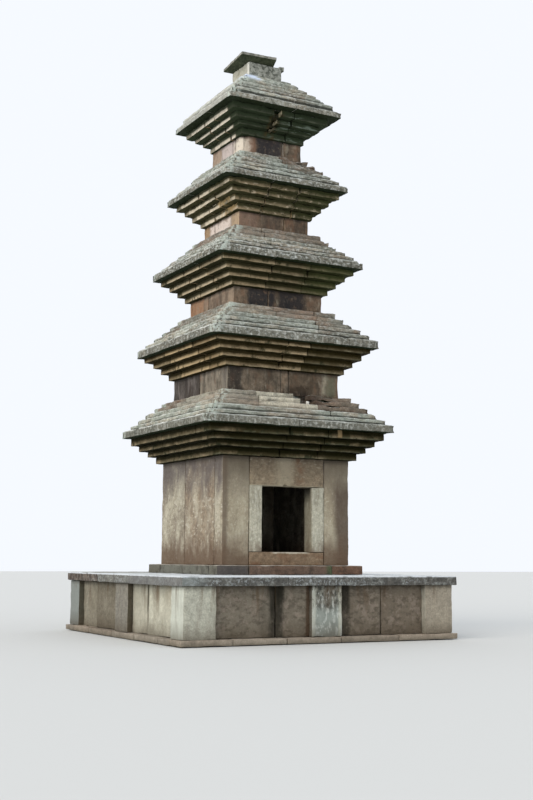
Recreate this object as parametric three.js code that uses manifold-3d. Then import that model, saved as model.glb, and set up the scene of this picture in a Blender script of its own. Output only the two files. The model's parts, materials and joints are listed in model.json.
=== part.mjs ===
// A five-storey granite pagoda with stepped roofs, on a wide low base of pillars and wall panels.
// Millimetres, +Z up. The origin is the centre of the foot at ground level, and the niche faces -Y.

import * as THREE from "three";
import Module from "manifold-3d";
import { mergeVertices } from "three/addons/utils/BufferGeometryUtils.js";

// Width left beside a stone whose neighbour is cut or turned to its place
const JOINT = 0.3;

// Base: a foot course, walls of pillars and panels round a rubble fill, and a ring of cap slabs
const FOOT_HALF = 2475;
const FOOT_TOP = 100;
const FOOT_DEPTH = 420;
const WALL_HALF = 2400;
const WALL_TOP = 877;
const PANEL_RECESS = 90;
const PANEL_DEPTH = 440;
const CORNER_PILLAR_WIDE = 530;
const CORNER_PILLAR_DEEP = 440;
const MIDDLE_PILLAR_WIDE = 540;
const MIDDLE_PILLAR_OFF = 20;
const CAP_HALF = 2458;
const CAP_TOP = 1022;
const CAP_WEST_JOINT = -690;
const CAP_EAST_JOINT = 1107;

// Plinth that carries the first storey
const PLINTH_HALF = 1354;
const PLINTH_TOP = 1170;
const PLINTH_FRONT_JOINT = -1039;
const PLINTH_BACK_JOINT = 847;

// First storey: upright slabs round a hollow chamber, open to the front through the niche
const BODY1_HALF = 1190;
const BODY1_TOP = 2920;
const SLAB_DEPTH = 300;
const FRONT_SLAB_WIDE = 488;
const SILL_TOP = 1385;
const LINTEL_BOTTOM = 2452;
const JAMB_WIDE = 237;
const REBATE_FROM_FACE = 110;
const REBATE_DEEP = 18;
const WEST_SEAM_Y = 240;
const BACK_SEAM_X = -150;
const EAST_SEAM_Y = -210;

// Upper storeys, from the second: half width and top of each single block
const BODIES = [
  { half: 1058, top: 4395 },
  { half: 851, top: 5790 },
  { half: 681, top: 7145 },
  { half: 579, top: 8535 },
];

// Roofs, from the lowest: corbel courses grow outwards, an eave slab, then steps that draw in.
// A half is half the width of a course, a run is what each course adds or loses on every side.
const ROOFS = [
  {
    corbels: { half: 1286, run: 114, rises: [125, 100, 105, 135] },
    eave: { half: 1755, rise: 130 },
    steps: { half: 1650, run: 106, rises: [85, 105, 100, 95, 90] },
  },
  {
    corbels: { half: 1139, run: 108, rises: [120, 110, 110, 90] },
    eave: { half: 1577, rise: 140 },
    steps: { half: 1465, run: 109, rises: [95, 105, 95, 100, 105] },
  },
  {
    corbels: { half: 928, run: 110, rises: [115, 105, 110, 100] },
    eave: { half: 1385, rise: 130 },
    steps: { half: 1271, run: 107, rises: [100, 95, 90, 110, 110] },
  },
  {
    corbels: { half: 747, run: 108, rises: [125, 115, 105, 110] },
    eave: { half: 1201, rise: 105 },
    steps: { half: 1087, run: 101, rises: [115, 100, 120, 95, 85] },
  },
  {
    corbels: { half: 621, run: 107, rises: [125, 85, 100, 120] },
    eave: { half: 1108, rise: 100 },
    steps: { half: 1010, run: 110, rises: [145, 100, 110, 105, 110, 80] },
  },
];

// Finial base: a square neck under a wider slab, which is cut back underneath towards the neck,
// turned a little out of line, and broken off on its right side
const NECK_HALF = 329;
const NECK_RISE = 295;
const FLANGE_ROOT_HALF = 300;
const FLANGE_HALF = 453;
const FLANGE_UNDERCUT = 80;
const FLANGE_EDGE = 50;
const FLANGE_TURN = -Math.PI / 36;
const FLANGE_SHIFT = -30;
const FLANGE_BREAK_FRONT = 225;
const FLANGE_BREAK_BACK = 270;
// How far the slab's root reaches down into the neck, with which it is one stone
const FLANGE_SINK = 4;

const pagoda = new THREE.Group();

function granite(colour, roughness) {
  return new THREE.MeshStandardMaterial({ color: colour, roughness, metalness: 0 });
}

const paleGranite = granite(0xa79a8a, 0.9);
const brownGranite = granite(0x7d6a5b, 0.92);
const darkGranite = granite(0x4e473f, 0.95);
const lichenGranite = granite(0x83827a, 0.95);
const rubble = granite(0x6e665c, 1.0);

function add(name, geometry, material) {
  const mesh = new THREE.Mesh(geometry, material);
  mesh.name = name;
  pagoda.add(mesh);
  return mesh;
}

// A squared stone between two corners
function stone(name, low, high, material) {
  const [wide, deep, tall] = high.map((value, axis) => value - low[axis]);
  const mesh = add(name, new THREE.BoxGeometry(wide, deep, tall), material);
  mesh.position.set(low[0] + wide / 2, low[1] + deep / 2, low[2] + tall / 2);
  return mesh;
}

// A square block in courses: each course has a half width and a top, from the bottom level up
function coursedGeometry(bottom, courses) {
  const profile = [new THREE.Vector2(0, bottom)];
  let level = bottom;
  for (const { half, top } of courses) {
    profile.push(new THREE.Vector2(half * Math.SQRT2, level));
    profile.push(new THREE.Vector2(half * Math.SQRT2, top));
    level = top;
  }
  profile.push(new THREE.Vector2(0, level));
  const geometry = new THREE.LatheGeometry(profile, 4, Math.PI / 4);
  return geometry.rotateX(Math.PI / 2);
}

// Stacks a list of rises into courses, each run wider than the one below
function stack(bottom, half, run, rises) {
  let top = bottom;
  return rises.map((rise, index) => {
    top += rise;
    return { half: half + run * index, top };
  });
}

function closedMesh(geometry) {
  const bare = geometry.clone();
  bare.deleteAttribute("normal");
  bare.deleteAttribute("uv");
  return mergeVertices(bare);
}

const wasm = await Module();
wasm.setup();

function solidOf(geometry) {
  const merged = closedMesh(geometry);
  return new wasm.Manifold(new wasm.Mesh({
    numProp: 3,
    vertProperties: new Float32Array(merged.attributes.position.array),
    triVerts: new Uint32Array(merged.index.array),
  }));
}

function geometryOf(solid) {
  const { vertProperties, triVerts } = solid.getMesh();
  const geometry = new THREE.BufferGeometry();
  geometry.setAttribute("position", new THREE.BufferAttribute(vertProperties, 3));
  geometry.setIndex(new THREE.BufferAttribute(triVerts, 1));
  geometry.computeVertexNormals();
  return geometry;
}

// Foot course: four long bars just proud of the walls, the front and back ones over the full width
function makeFootCourse() {
  const inner = FOOT_HALF - FOOT_DEPTH;
  stone("foot_course_front", [-FOOT_HALF, -FOOT_HALF, 0], [FOOT_HALF, -inner, FOOT_TOP], paleGranite);
  stone("foot_course_back", [-FOOT_HALF, inner, 0], [FOOT_HALF, FOOT_HALF, FOOT_TOP], paleGranite);
  stone("foot_course_west", [-FOOT_HALF, -inner, 0], [-inner, inner, FOOT_TOP], paleGranite);
  stone("foot_course_east", [inner, -inner, 0], [FOOT_HALF, inner, FOOT_TOP], paleGranite);
}

// Rubble fill inside the foot course and the walls
function makeBaseFill() {
  const footInside = FOOT_HALF - FOOT_DEPTH - JOINT;
  const wallInside = WALL_HALF - PANEL_RECESS - PANEL_DEPTH - JOINT;
  add("base_fill", coursedGeometry(0, [
    { half: footInside, top: FOOT_TOP },
    { half: wallInside, top: WALL_TOP },
  ]), rubble);
}

// Walls of the base: a pillar at each corner and one in the middle of each side, panels between
function makeBaseWalls() {
  const face = WALL_HALF;
  const panelFace = WALL_HALF - PANEL_RECESS;
  const panelBack = panelFace - PANEL_DEPTH;
  const pillarX = WALL_HALF - CORNER_PILLAR_WIDE;
  const pillarY = WALL_HALF - CORNER_PILLAR_DEEP;
  for (const [name, sx, sy] of [["front_west", -1, -1], ["front_east", 1, -1],
    ["back_west", -1, 1], ["back_east", 1, 1]]) {
    const low = [sx < 0 ? -face : pillarX, sy < 0 ? -face : pillarY, FOOT_TOP];
    const high = [sx < 0 ? -pillarX : face, sy < 0 ? -pillarY : face, WALL_TOP];
    stone(`corner_pillar_${name}`, low, high, paleGranite);
  }
  const midLow = MIDDLE_PILLAR_OFF - MIDDLE_PILLAR_WIDE / 2;
  const midHigh = MIDDLE_PILLAR_OFF + MIDDLE_PILLAR_WIDE / 2;
  stone("middle_pillar_front", [midLow, -face, FOOT_TOP], [midHigh, -panelFace, WALL_TOP], paleGranite);
  stone("middle_pillar_back", [-midHigh, panelFace, FOOT_TOP], [-midLow, face, WALL_TOP], paleGranite);
  stone("middle_pillar_west", [-face, -midHigh, FOOT_TOP], [-panelFace, -midLow, WALL_TOP], paleGranite);
  stone("middle_pillar_east", [panelFace, midLow, FOOT_TOP], [face, midHigh, WALL_TOP], paleGranite);
  stone("wall_panels_front", [-pillarX, -panelFace, FOOT_TOP], [pillarX, -panelBack, WALL_TOP],
    brownGranite);
  stone("wall_panels_back", [-pillarX, panelBack, FOOT_TOP], [pillarX, panelFace, WALL_TOP],
    brownGranite);
  stone("wall_panels_west", [-panelFace, -pillarY, FOOT_TOP], [-panelBack, pillarY, WALL_TOP],
    paleGranite);
  stone("wall_panels_east", [panelBack, -pillarY, FOOT_TOP], [panelFace, pillarY, WALL_TOP],
    paleGranite);
}

// Cap slabs over the walls and the fill: the west and east ones take the corners
function makeCap() {
  const [west, east, half, bottom, top] = [CAP_WEST_JOINT, CAP_EAST_JOINT, CAP_HALF, WALL_TOP, CAP_TOP];
  stone("cap_west", [-half, -half, bottom], [west, half, top], darkGranite);
  stone("cap_front", [west, -half, bottom], [east, 0, top], darkGranite);
  stone("cap_back", [west, 0, bottom], [east, half, top], darkGranite);
  stone("cap_east", [east, -half, bottom], [half, half, top], darkGranite);
}

// Plinth: the front and back slabs take the corners, and two slabs lie between them
function makePlinth() {
  const [front, back, half] = [PLINTH_FRONT_JOINT, PLINTH_BACK_JOINT, PLINTH_HALF];
  stone("plinth_front", [-half, -half, CAP_TOP], [half, front, PLINTH_TOP], darkGranite);
  stone("plinth_west", [-half, front, CAP_TOP], [0, back, PLINTH_TOP], darkGranite);
  stone("plinth_east", [0, front, CAP_TOP], [half, back, PLINTH_TOP], darkGranite);
  stone("plinth_back", [-half, back, CAP_TOP], [half, half, PLINTH_TOP], darkGranite);
}

// A jamb of the niche, rebated behind its face for a door that is lost. Side is -1 west or 1 east.
function nicheJamb(name, side) {
  const outer = side * (BODY1_HALF - FRONT_SLAB_WIDE);
  const inner = outer - side * JAMB_WIDE;
  const rebate = inner + side * REBATE_DEEP;
  const face = -BODY1_HALF;
  const rebateFace = face + REBATE_FROM_FACE;
  const back = face + SLAB_DEPTH;
  const plan = new THREE.Shape([[outer, face], [inner, face], [inner, rebateFace], [rebate, rebateFace],
    [rebate, back], [outer, back]].map(([x, y]) => new THREE.Vector2(x, y)));
  const geometry = new THREE.ExtrudeGeometry(plan, { depth: LINTEL_BOTTOM - SILL_TOP, bevelEnabled: false });
  add(name, geometry, paleGranite).position.z = SILL_TOP;
}

// First storey: two slabs a side, with the niche's frame of sill, jambs and lintel at the front
function makeFirstStorey() {
  const half = BODY1_HALF;
  const inner = half - SLAB_DEPTH;
  const openHalf = half - FRONT_SLAB_WIDE;
  const bottom = PLINTH_TOP;
  const top = BODY1_TOP;
  stone("front_slab_west", [-half, -half, bottom], [-openHalf, -inner, top], brownGranite);
  stone("front_slab_east", [openHalf, -half, bottom], [half, -inner, top], brownGranite);
  stone("niche_sill", [-openHalf, -half, bottom], [openHalf, -inner, SILL_TOP], brownGranite);
  nicheJamb("niche_jamb_west", -1);
  nicheJamb("niche_jamb_east", 1);
  stone("niche_lintel", [-openHalf, -half, LINTEL_BOTTOM], [openHalf, -inner, top], brownGranite);
  stone("west_slab_front", [-half, -inner, bottom], [-inner, WEST_SEAM_Y, top], paleGranite);
  stone("west_slab_back", [-half, WEST_SEAM_Y, bottom], [-inner, half, top], paleGranite);
  stone("east_slab_front", [inner, -inner, bottom], [half, EAST_SEAM_Y, top], paleGranite);
  stone("east_slab_back", [inner, EAST_SEAM_Y, bottom], [half, half, top], paleGranite);
  stone("back_slab_west", [-inner, inner, bottom], [BACK_SEAM_X, half, top], brownGranite);
  stone("back_slab_east", [BACK_SEAM_X, inner, bottom], [inner, half, top], brownGranite);
}

// Upper storeys and roofs, from the first roof up. Returns the level of the last step.
function makeTower() {
  let level = BODY1_TOP;
  ROOFS.forEach(({ corbels, eave, steps }, index) => {
    const storey = index + 1;
    const corbelCourses = stack(level, corbels.half, corbels.run, corbels.rises);
    add(`roof_${storey}_corbels`, coursedGeometry(level, corbelCourses), darkGranite);
    level = corbelCourses.at(-1).top;
    const eaveCourse = { half: eave.half, top: level + eave.rise };
    const stepCourses = stack(eaveCourse.top, steps.half, -steps.run, steps.rises);
    add(`roof_${storey}_top`, coursedGeometry(level, [eaveCourse, ...stepCourses]), lichenGranite);
    level = stepCourses.at(-1).top;
    const body = BODIES[index];
    if (body) {
      const corner = [body.half, body.half, body.top];
      stone(`storey_${storey + 1}`, [-body.half, -body.half, level], corner, brownGranite);
      level = body.top;
    }
  });
  return level;
}

// Finial base, with the flange's right end cut off along a slanted break
function makeFinial(bottom) {
  const neckTop = bottom + NECK_RISE;
  const rootBottom = neckTop - FLANGE_SINK;
  const edgeBottom = neckTop + FLANGE_UNDERCUT;
  const top = edgeBottom + FLANGE_EDGE;
  const profile = [[0, rootBottom], [FLANGE_ROOT_HALF, rootBottom], [FLANGE_HALF, edgeBottom],
    [FLANGE_HALF, top], [0, top]].map(([half, level]) => new THREE.Vector2(half * Math.SQRT2, level));
  const flange = new THREE.LatheGeometry(profile, 4, Math.PI / 4).rotateX(Math.PI / 2);
  const outline = new THREE.Shape([
    new THREE.Vector2(FLANGE_BREAK_FRONT, -FLANGE_HALF - 1),
    new THREE.Vector2(FLANGE_HALF + 1, -FLANGE_HALF - 1),
    new THREE.Vector2(FLANGE_HALF + 1, FLANGE_HALF + 1),
    new THREE.Vector2(FLANGE_BREAK_BACK, FLANGE_HALF + 1),
  ]);
  const missing = new THREE.ExtrudeGeometry(outline, { depth: top - rootBottom + 2, bevelEnabled: false });
  missing.translate(0, 0, rootBottom - 1);
  for (const geometry of [flange, missing]) {
    geometry.rotateZ(FLANGE_TURN);
    geometry.translate(FLANGE_SHIFT, 0, 0);
  }
  const broken = solidOf(flange).subtract(solidOf(missing));
  const neck = solidOf(coursedGeometry(bottom, [{ half: NECK_HALF, top: neckTop }]));
  add("finial_base", geometryOf(neck.add(broken)), darkGranite);
}

makeFootCourse();
makeBaseFill();
makeBaseWalls();
makeCap();
makePlinth();
makeFirstStorey();
makeFinial(makeTower());

export default pagoda;
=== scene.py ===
# A five-storey granite pagoda: its stones, growth and stains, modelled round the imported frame.

import json
import math
import random

import bmesh
import bpy
import numpy as np
from mathutils import Matrix, Vector

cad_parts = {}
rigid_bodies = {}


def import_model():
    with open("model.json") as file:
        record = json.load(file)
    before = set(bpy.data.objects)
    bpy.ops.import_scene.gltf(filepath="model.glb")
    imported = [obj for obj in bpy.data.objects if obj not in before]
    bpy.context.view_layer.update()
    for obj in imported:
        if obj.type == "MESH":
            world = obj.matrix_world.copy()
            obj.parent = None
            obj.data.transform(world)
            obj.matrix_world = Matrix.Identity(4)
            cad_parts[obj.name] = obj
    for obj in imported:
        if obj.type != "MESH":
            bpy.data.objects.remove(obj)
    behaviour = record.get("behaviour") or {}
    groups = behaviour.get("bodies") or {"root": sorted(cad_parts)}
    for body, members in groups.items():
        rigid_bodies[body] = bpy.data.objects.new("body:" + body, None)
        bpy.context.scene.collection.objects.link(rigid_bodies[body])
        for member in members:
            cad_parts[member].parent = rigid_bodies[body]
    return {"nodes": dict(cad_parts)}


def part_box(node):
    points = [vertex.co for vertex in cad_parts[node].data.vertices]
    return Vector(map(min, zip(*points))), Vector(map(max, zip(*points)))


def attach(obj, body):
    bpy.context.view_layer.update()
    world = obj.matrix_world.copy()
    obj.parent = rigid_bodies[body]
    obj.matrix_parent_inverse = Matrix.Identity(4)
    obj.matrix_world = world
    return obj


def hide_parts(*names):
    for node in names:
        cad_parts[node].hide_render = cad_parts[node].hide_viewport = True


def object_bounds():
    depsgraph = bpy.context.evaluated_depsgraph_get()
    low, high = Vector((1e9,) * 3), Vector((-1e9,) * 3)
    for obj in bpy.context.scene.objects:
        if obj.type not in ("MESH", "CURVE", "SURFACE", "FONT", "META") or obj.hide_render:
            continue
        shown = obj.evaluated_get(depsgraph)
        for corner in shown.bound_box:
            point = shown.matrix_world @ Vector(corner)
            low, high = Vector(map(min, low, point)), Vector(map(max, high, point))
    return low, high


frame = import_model()
cad_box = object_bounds()


# Camera. It stands at eye height off the front's west corner and looks slightly up.
# Place, turn and lens come from a fit to the edges of the tower in the photograph.
CAMERA_PLACE = Vector((-9.765, -18.364, 1.274))
CAMERA_YAW = math.radians(28.595)
CAMERA_PITCH = math.radians(7.516)
CAMERA_ROLL = math.radians(0.389)
SENSOR_TALL = 36
PICTURE_TALL = 800
FOCAL_LENGTH = 1203.9

camera_data = bpy.data.cameras.new("camera")
camera_data.sensor_fit = "VERTICAL"
camera_data.sensor_height = SENSOR_TALL
camera_data.lens = FOCAL_LENGTH / PICTURE_TALL * SENSOR_TALL
camera_data.clip_end = 400
camera = bpy.data.objects.new("camera", camera_data)
bpy.context.scene.collection.objects.link(camera)
ahead = Vector((math.sin(CAMERA_YAW), math.cos(CAMERA_YAW), math.tan(CAMERA_PITCH))).normalized()
level_right = Vector((math.cos(CAMERA_YAW), -math.sin(CAMERA_YAW), 0))
level_up = level_right.cross(ahead)
right = math.cos(CAMERA_ROLL) * level_right + math.sin(CAMERA_ROLL) * level_up
up = math.cos(CAMERA_ROLL) * level_up - math.sin(CAMERA_ROLL) * level_right
turn = Matrix((right, up, -ahead)).transposed()
camera.matrix_world = Matrix.Translation(CAMERA_PLACE) @ turn.to_4x4()
bpy.context.scene.camera = camera


# Floor and light. A pale floor that runs out into a pale sky, under the light of a bright grey day:
# even from all of the sky, a little stronger from the west.
FLOOR_REACH = 90
FLOOR_COLOUR = "#c9cbc9"
SKY_COLOUR = "#f4f8ff"
SKY_STRENGTH = 1.02
KEY_COLOUR = "#fff4e6"
KEY_STRENGTH = 1.7
KEY_SPREAD = math.radians(50)
KEY_FROM = Vector((-1.0, -0.42, 0.72))


def linear(code):
    """The linear red, green, blue and alpha of an sRGB hex colour."""
    parts = [int(code[i:i + 2], 16) / 255 for i in (1, 3, 5)]
    return [p / 12.92 if p <= 0.04045 else ((p + 0.055) / 1.055) ** 2.4 for p in parts] + [1.0]


def add_node(tree, kind, inputs=None, **settings):
    """Adds a node with its settings, and gives each named input a value or a link."""
    made = tree.nodes.new(kind)
    for key, value in settings.items():
        setattr(made, key, value)
    for key, value in (inputs or {}).items():
        if isinstance(value, bpy.types.NodeSocket):
            tree.links.new(value, made.inputs[key])
        else:
            made.inputs[key].default_value = value
    return made


bpy.ops.object.select_all(action="DESELECT")
bpy.ops.mesh.primitive_grid_add(size=2 * FLOOR_REACH, x_subdivisions=2, y_subdivisions=2)
floor = bpy.context.object
floor.name = "floor"
floor_finish = bpy.data.materials.new("matt_studio_floor")
floor_finish.use_nodes = True
floor_finish.node_tree.nodes["Principled BSDF"].inputs["Base Color"].default_value = linear(FLOOR_COLOUR)
floor_finish.node_tree.nodes["Principled BSDF"].inputs["Roughness"].default_value = 0.95
floor.data.materials.append(floor_finish)

sky = bpy.data.worlds.new("grey_day")
sky.use_nodes = True
sky.node_tree.nodes["Background"].inputs["Color"].default_value = linear(SKY_COLOUR)
sky.node_tree.nodes["Background"].inputs["Strength"].default_value = SKY_STRENGTH
bpy.context.scene.world = sky
bpy.context.scene.view_settings.view_transform = "Standard"

key_data = bpy.data.lights.new("key", "SUN")
key_data.energy = KEY_STRENGTH
key_data.color = linear(KEY_COLOUR)[:3]
key_data.angle = KEY_SPREAD
key_light = bpy.data.objects.new("key", key_data)
key_light.rotation_euler = KEY_FROM.to_track_quat("Z", "Y").to_euler()
bpy.context.scene.collection.objects.link(key_light)


# Foot course. Long low stones of pale granite, split and roughly squared, laid on the ground
# with dry joints, so that the walls stand clear of the wet.
FOOT_CUTS = (-1.62, -0.71, 0.24, 1.31)
FOOT_INSET = 0.016
FOOT_LIFT = 0.012
FOOT_FACE = 0.07
# Wear of a piece, here and below: warp of its faces, depth of its pits, loss along its arrises
FOOT_WEAR = (0.012, 0.006, 0.02)
JOINT_GAP = 0.009
ARRIS = 0.011
SHARP_ANGLE = 0.5
SMOOTH_ANGLE = math.radians(50)


def edit(piece):
    """Opens a piece alone in edit mode."""
    bpy.ops.object.select_all(action="DESELECT")
    bpy.context.view_layer.objects.active = piece
    piece.select_set(True)
    bpy.ops.object.mode_set(mode="EDIT")


def begin(name):
    """An empty piece at the origin, open in edit mode."""
    piece = bpy.data.objects.new(name, bpy.data.meshes.new(name))
    bpy.context.scene.collection.objects.link(piece)
    edit(piece)
    return piece


def select_none(*mode):
    """Selects nothing, and sets whether points, edges and faces can be."""
    bpy.context.tool_settings.mesh_select_mode = mode
    bpy.ops.mesh.select_all(action="DESELECT")


def add_stone(low, high):
    """Adds a squared stone between two corners to the piece in edit mode."""
    bpy.ops.mesh.primitive_cube_add(size=1, location=(low + high) / 2, scale=high - low)


def places_of(mesh):
    """Where the points of a mesh lie, a row each."""
    places = np.empty(len(mesh.vertices) * 3, np.float32)
    mesh.vertices.foreach_get("co", places)
    return places.reshape(-1, 3)


def ends_of(mesh):
    """The two points of each edge, a row each."""
    ends = np.empty(len(mesh.edges) * 2, np.int32)
    mesh.edges.foreach_get("vertices", ends)
    return ends.reshape(-1, 2)


def break_arrises(piece, hidden=lambda centre: False):
    """Bevels the sharp edges, apart from those of faces that lie hidden inside the masonry."""
    select_none(False, True, False)
    shape = bmesh.from_edit_mesh(piece.data)
    for edge in shape.edges:
        sharp = edge.is_manifold and edge.calc_face_angle() > SHARP_ANGLE
        if sharp and not any(hidden(face.calc_center_median()) for face in edge.link_faces):
            edge.select_set(True)
    bpy.ops.mesh.bevel(offset=ARRIS, offset_type="OFFSET", segments=2, profile=0.6, affect="EDGES")


def cut_across(piece, face):
    """Cuts every edge that runs along an axis into lengths of about a face."""
    bpy.context.tool_settings.mesh_select_mode = (False, True, False)
    mesh = piece.data
    for axis in (0, 1, 2):
        while True:
            run = np.ptp(places_of(mesh)[ends_of(mesh)], axis=1)
            straight = run.sum(axis=1) - run[:, axis] < 1e-4
            lengths = np.round(run[:, axis], 4)
            cuts = np.where(straight, np.round(lengths / face) - 1, 0).astype(int)
            most = cuts.max()
            if most < 1:
                break
            mesh.vertices.foreach_set("select", np.zeros(len(mesh.vertices), bool))
            mesh.polygons.foreach_set("select", np.zeros(len(mesh.polygons), bool))
            mesh.edges.foreach_set("select", cuts == most)
            bpy.ops.object.mode_set(mode="EDIT")
            bpy.ops.mesh.subdivide(number_cuts=int(most))
            bpy.ops.object.mode_set(mode="OBJECT")


def mark_stones(piece, laid):
    """Keeps values of each stone, how high up it a point lies, and its arrises, on the mesh."""
    mesh = piece.data
    places = places_of(mesh)
    kept = {name: np.zeros(len(places), np.float32) for name in (*laid[0][2], "level", "arris")}
    reach = 0.0015
    for low, high, values in laid:
        inside = np.all((places > np.array(low) - reach) & (places < np.array(high) + reach), axis=1)
        kept["level"][inside] = (places[inside, 2] - low[2]) / (high[2] - low[2])
        for name, value in values.items():
            kept[name][inside] = value
    ends = ends_of(mesh)
    lengths = np.linalg.norm(places[ends[:, 0]] - places[ends[:, 1]], axis=1)
    kept["arris"][ends[lengths < ARRIS].ravel()] = 1
    for name, values in kept.items():
        mesh.attributes.new(name, "FLOAT", "POINT").data.foreach_set("value", values)
    arrises = piece.vertex_groups.new(name="arrises")
    arrises.add([int(i) for i in np.flatnonzero(kept["arris"])], 1.0, "REPLACE")


def shape_stones(piece, laid, face, hidden=lambda centre: False):
    """Breaks the arrises of laid stones, cuts their faces finely and marks them."""
    break_arrises(piece, hidden)
    bpy.ops.object.mode_set(mode="OBJECT")
    cut_across(piece, face)
    mark_stones(piece, laid)


def squared_stones(name, stones, face, settle=0.004, seed=1):
    """Squared stones as one mesh. Each stone is (lowest corner, highest corner, tone, rust).

    Tone goes from 0, dark, to 1, pale. The stones settle a little out of line, their arrises
    are broken, and their faces are cut into smaller ones about `face` wide."""
    draw = random.Random(seed)
    piece = begin(name)
    laid = []
    for low, high, tone, rust in stones:
        shift = Vector([draw.uniform(-settle, settle) for _ in range(3)]) * 0.5
        laid.append((Vector(low) + shift, Vector(high) + shift, {"tone": tone, "rust": rust}))
        add_stone(*laid[-1][:2])
    shape_stones(piece, laid, face)
    return piece


def displace(piece, label, size, strength, middle, group=""):
    """Moves the surface along its normals by a cloudy noise, and applies that."""
    texture = bpy.data.textures.new(f"{piece.name}_{label}", "CLOUDS")
    texture.noise_scale = size
    texture.noise_depth = 2
    modifier = piece.modifiers.new(label, "DISPLACE")
    modifier.texture = texture
    modifier.texture_coords = "LOCAL"
    modifier.strength = strength
    modifier.mid_level = middle
    modifier.vertex_group = group
    bpy.context.view_layer.objects.active = piece
    bpy.ops.object.modifier_apply(modifier=label)


def wear(piece, warp, pits, arris_loss, warp_size=0.35, pit_size=0.06):
    """Weathers a piece: slow warping of its faces, shallow pits, and arrises eaten away in places."""
    displace(piece, "warp", warp_size, warp, 0.5)
    displace(piece, "pits", pit_size, pits, 0.5)
    displace(piece, "loss", 0.17, -arris_loss, 0.38, "arrises")
    bpy.ops.object.select_all(action="DESELECT")
    piece.select_set(True)
    bpy.ops.object.shade_smooth_by_angle(angle=SMOOTH_ANGLE)


def dress(piece, finish, slot, *nodes):
    """Gives a finished piece its material and its body, and hides the nodes it stands for. The slot is not
    used.
    """
    piece.data.materials.append(finish)
    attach(piece, "root")
    if nodes:
        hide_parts(*nodes)


def lay(node, kind, stones, face, loss, finish, slot, settle=0.004, seed=1):
    """Lays squared stones in place of a node, then wears and dresses them."""
    piece = squared_stones(f"{node}_{kind}", stones, face, settle, seed)
    wear(piece, *loss)
    dress(piece, finish, slot, node)


def split(low, high, cuts):
    """The stretches between two ends that the cuts leave, each pulled in by half a joint."""
    ends = [low, *sorted(cuts), high]
    inner = JOINT_GAP / 2
    return [(a + (inner if a != low else 0), b - (inner if b != high else 0))
            for a, b in zip(ends, ends[1:])]


def row_of_stones(low, high, axis, cuts, looks, inset=0.0):
    """Stones side by side along an axis between two corners, each with its tone and rust."""
    stones = []
    for (start, end), look in zip(split(low[axis], high[axis], cuts), looks):
        first, last = low.copy(), high.copy()
        first[axis], last[axis] = start, end
        first[1 - axis] += inset
        last[1 - axis] -= inset
        stones.append((first, last, *look))
    return stones


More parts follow.
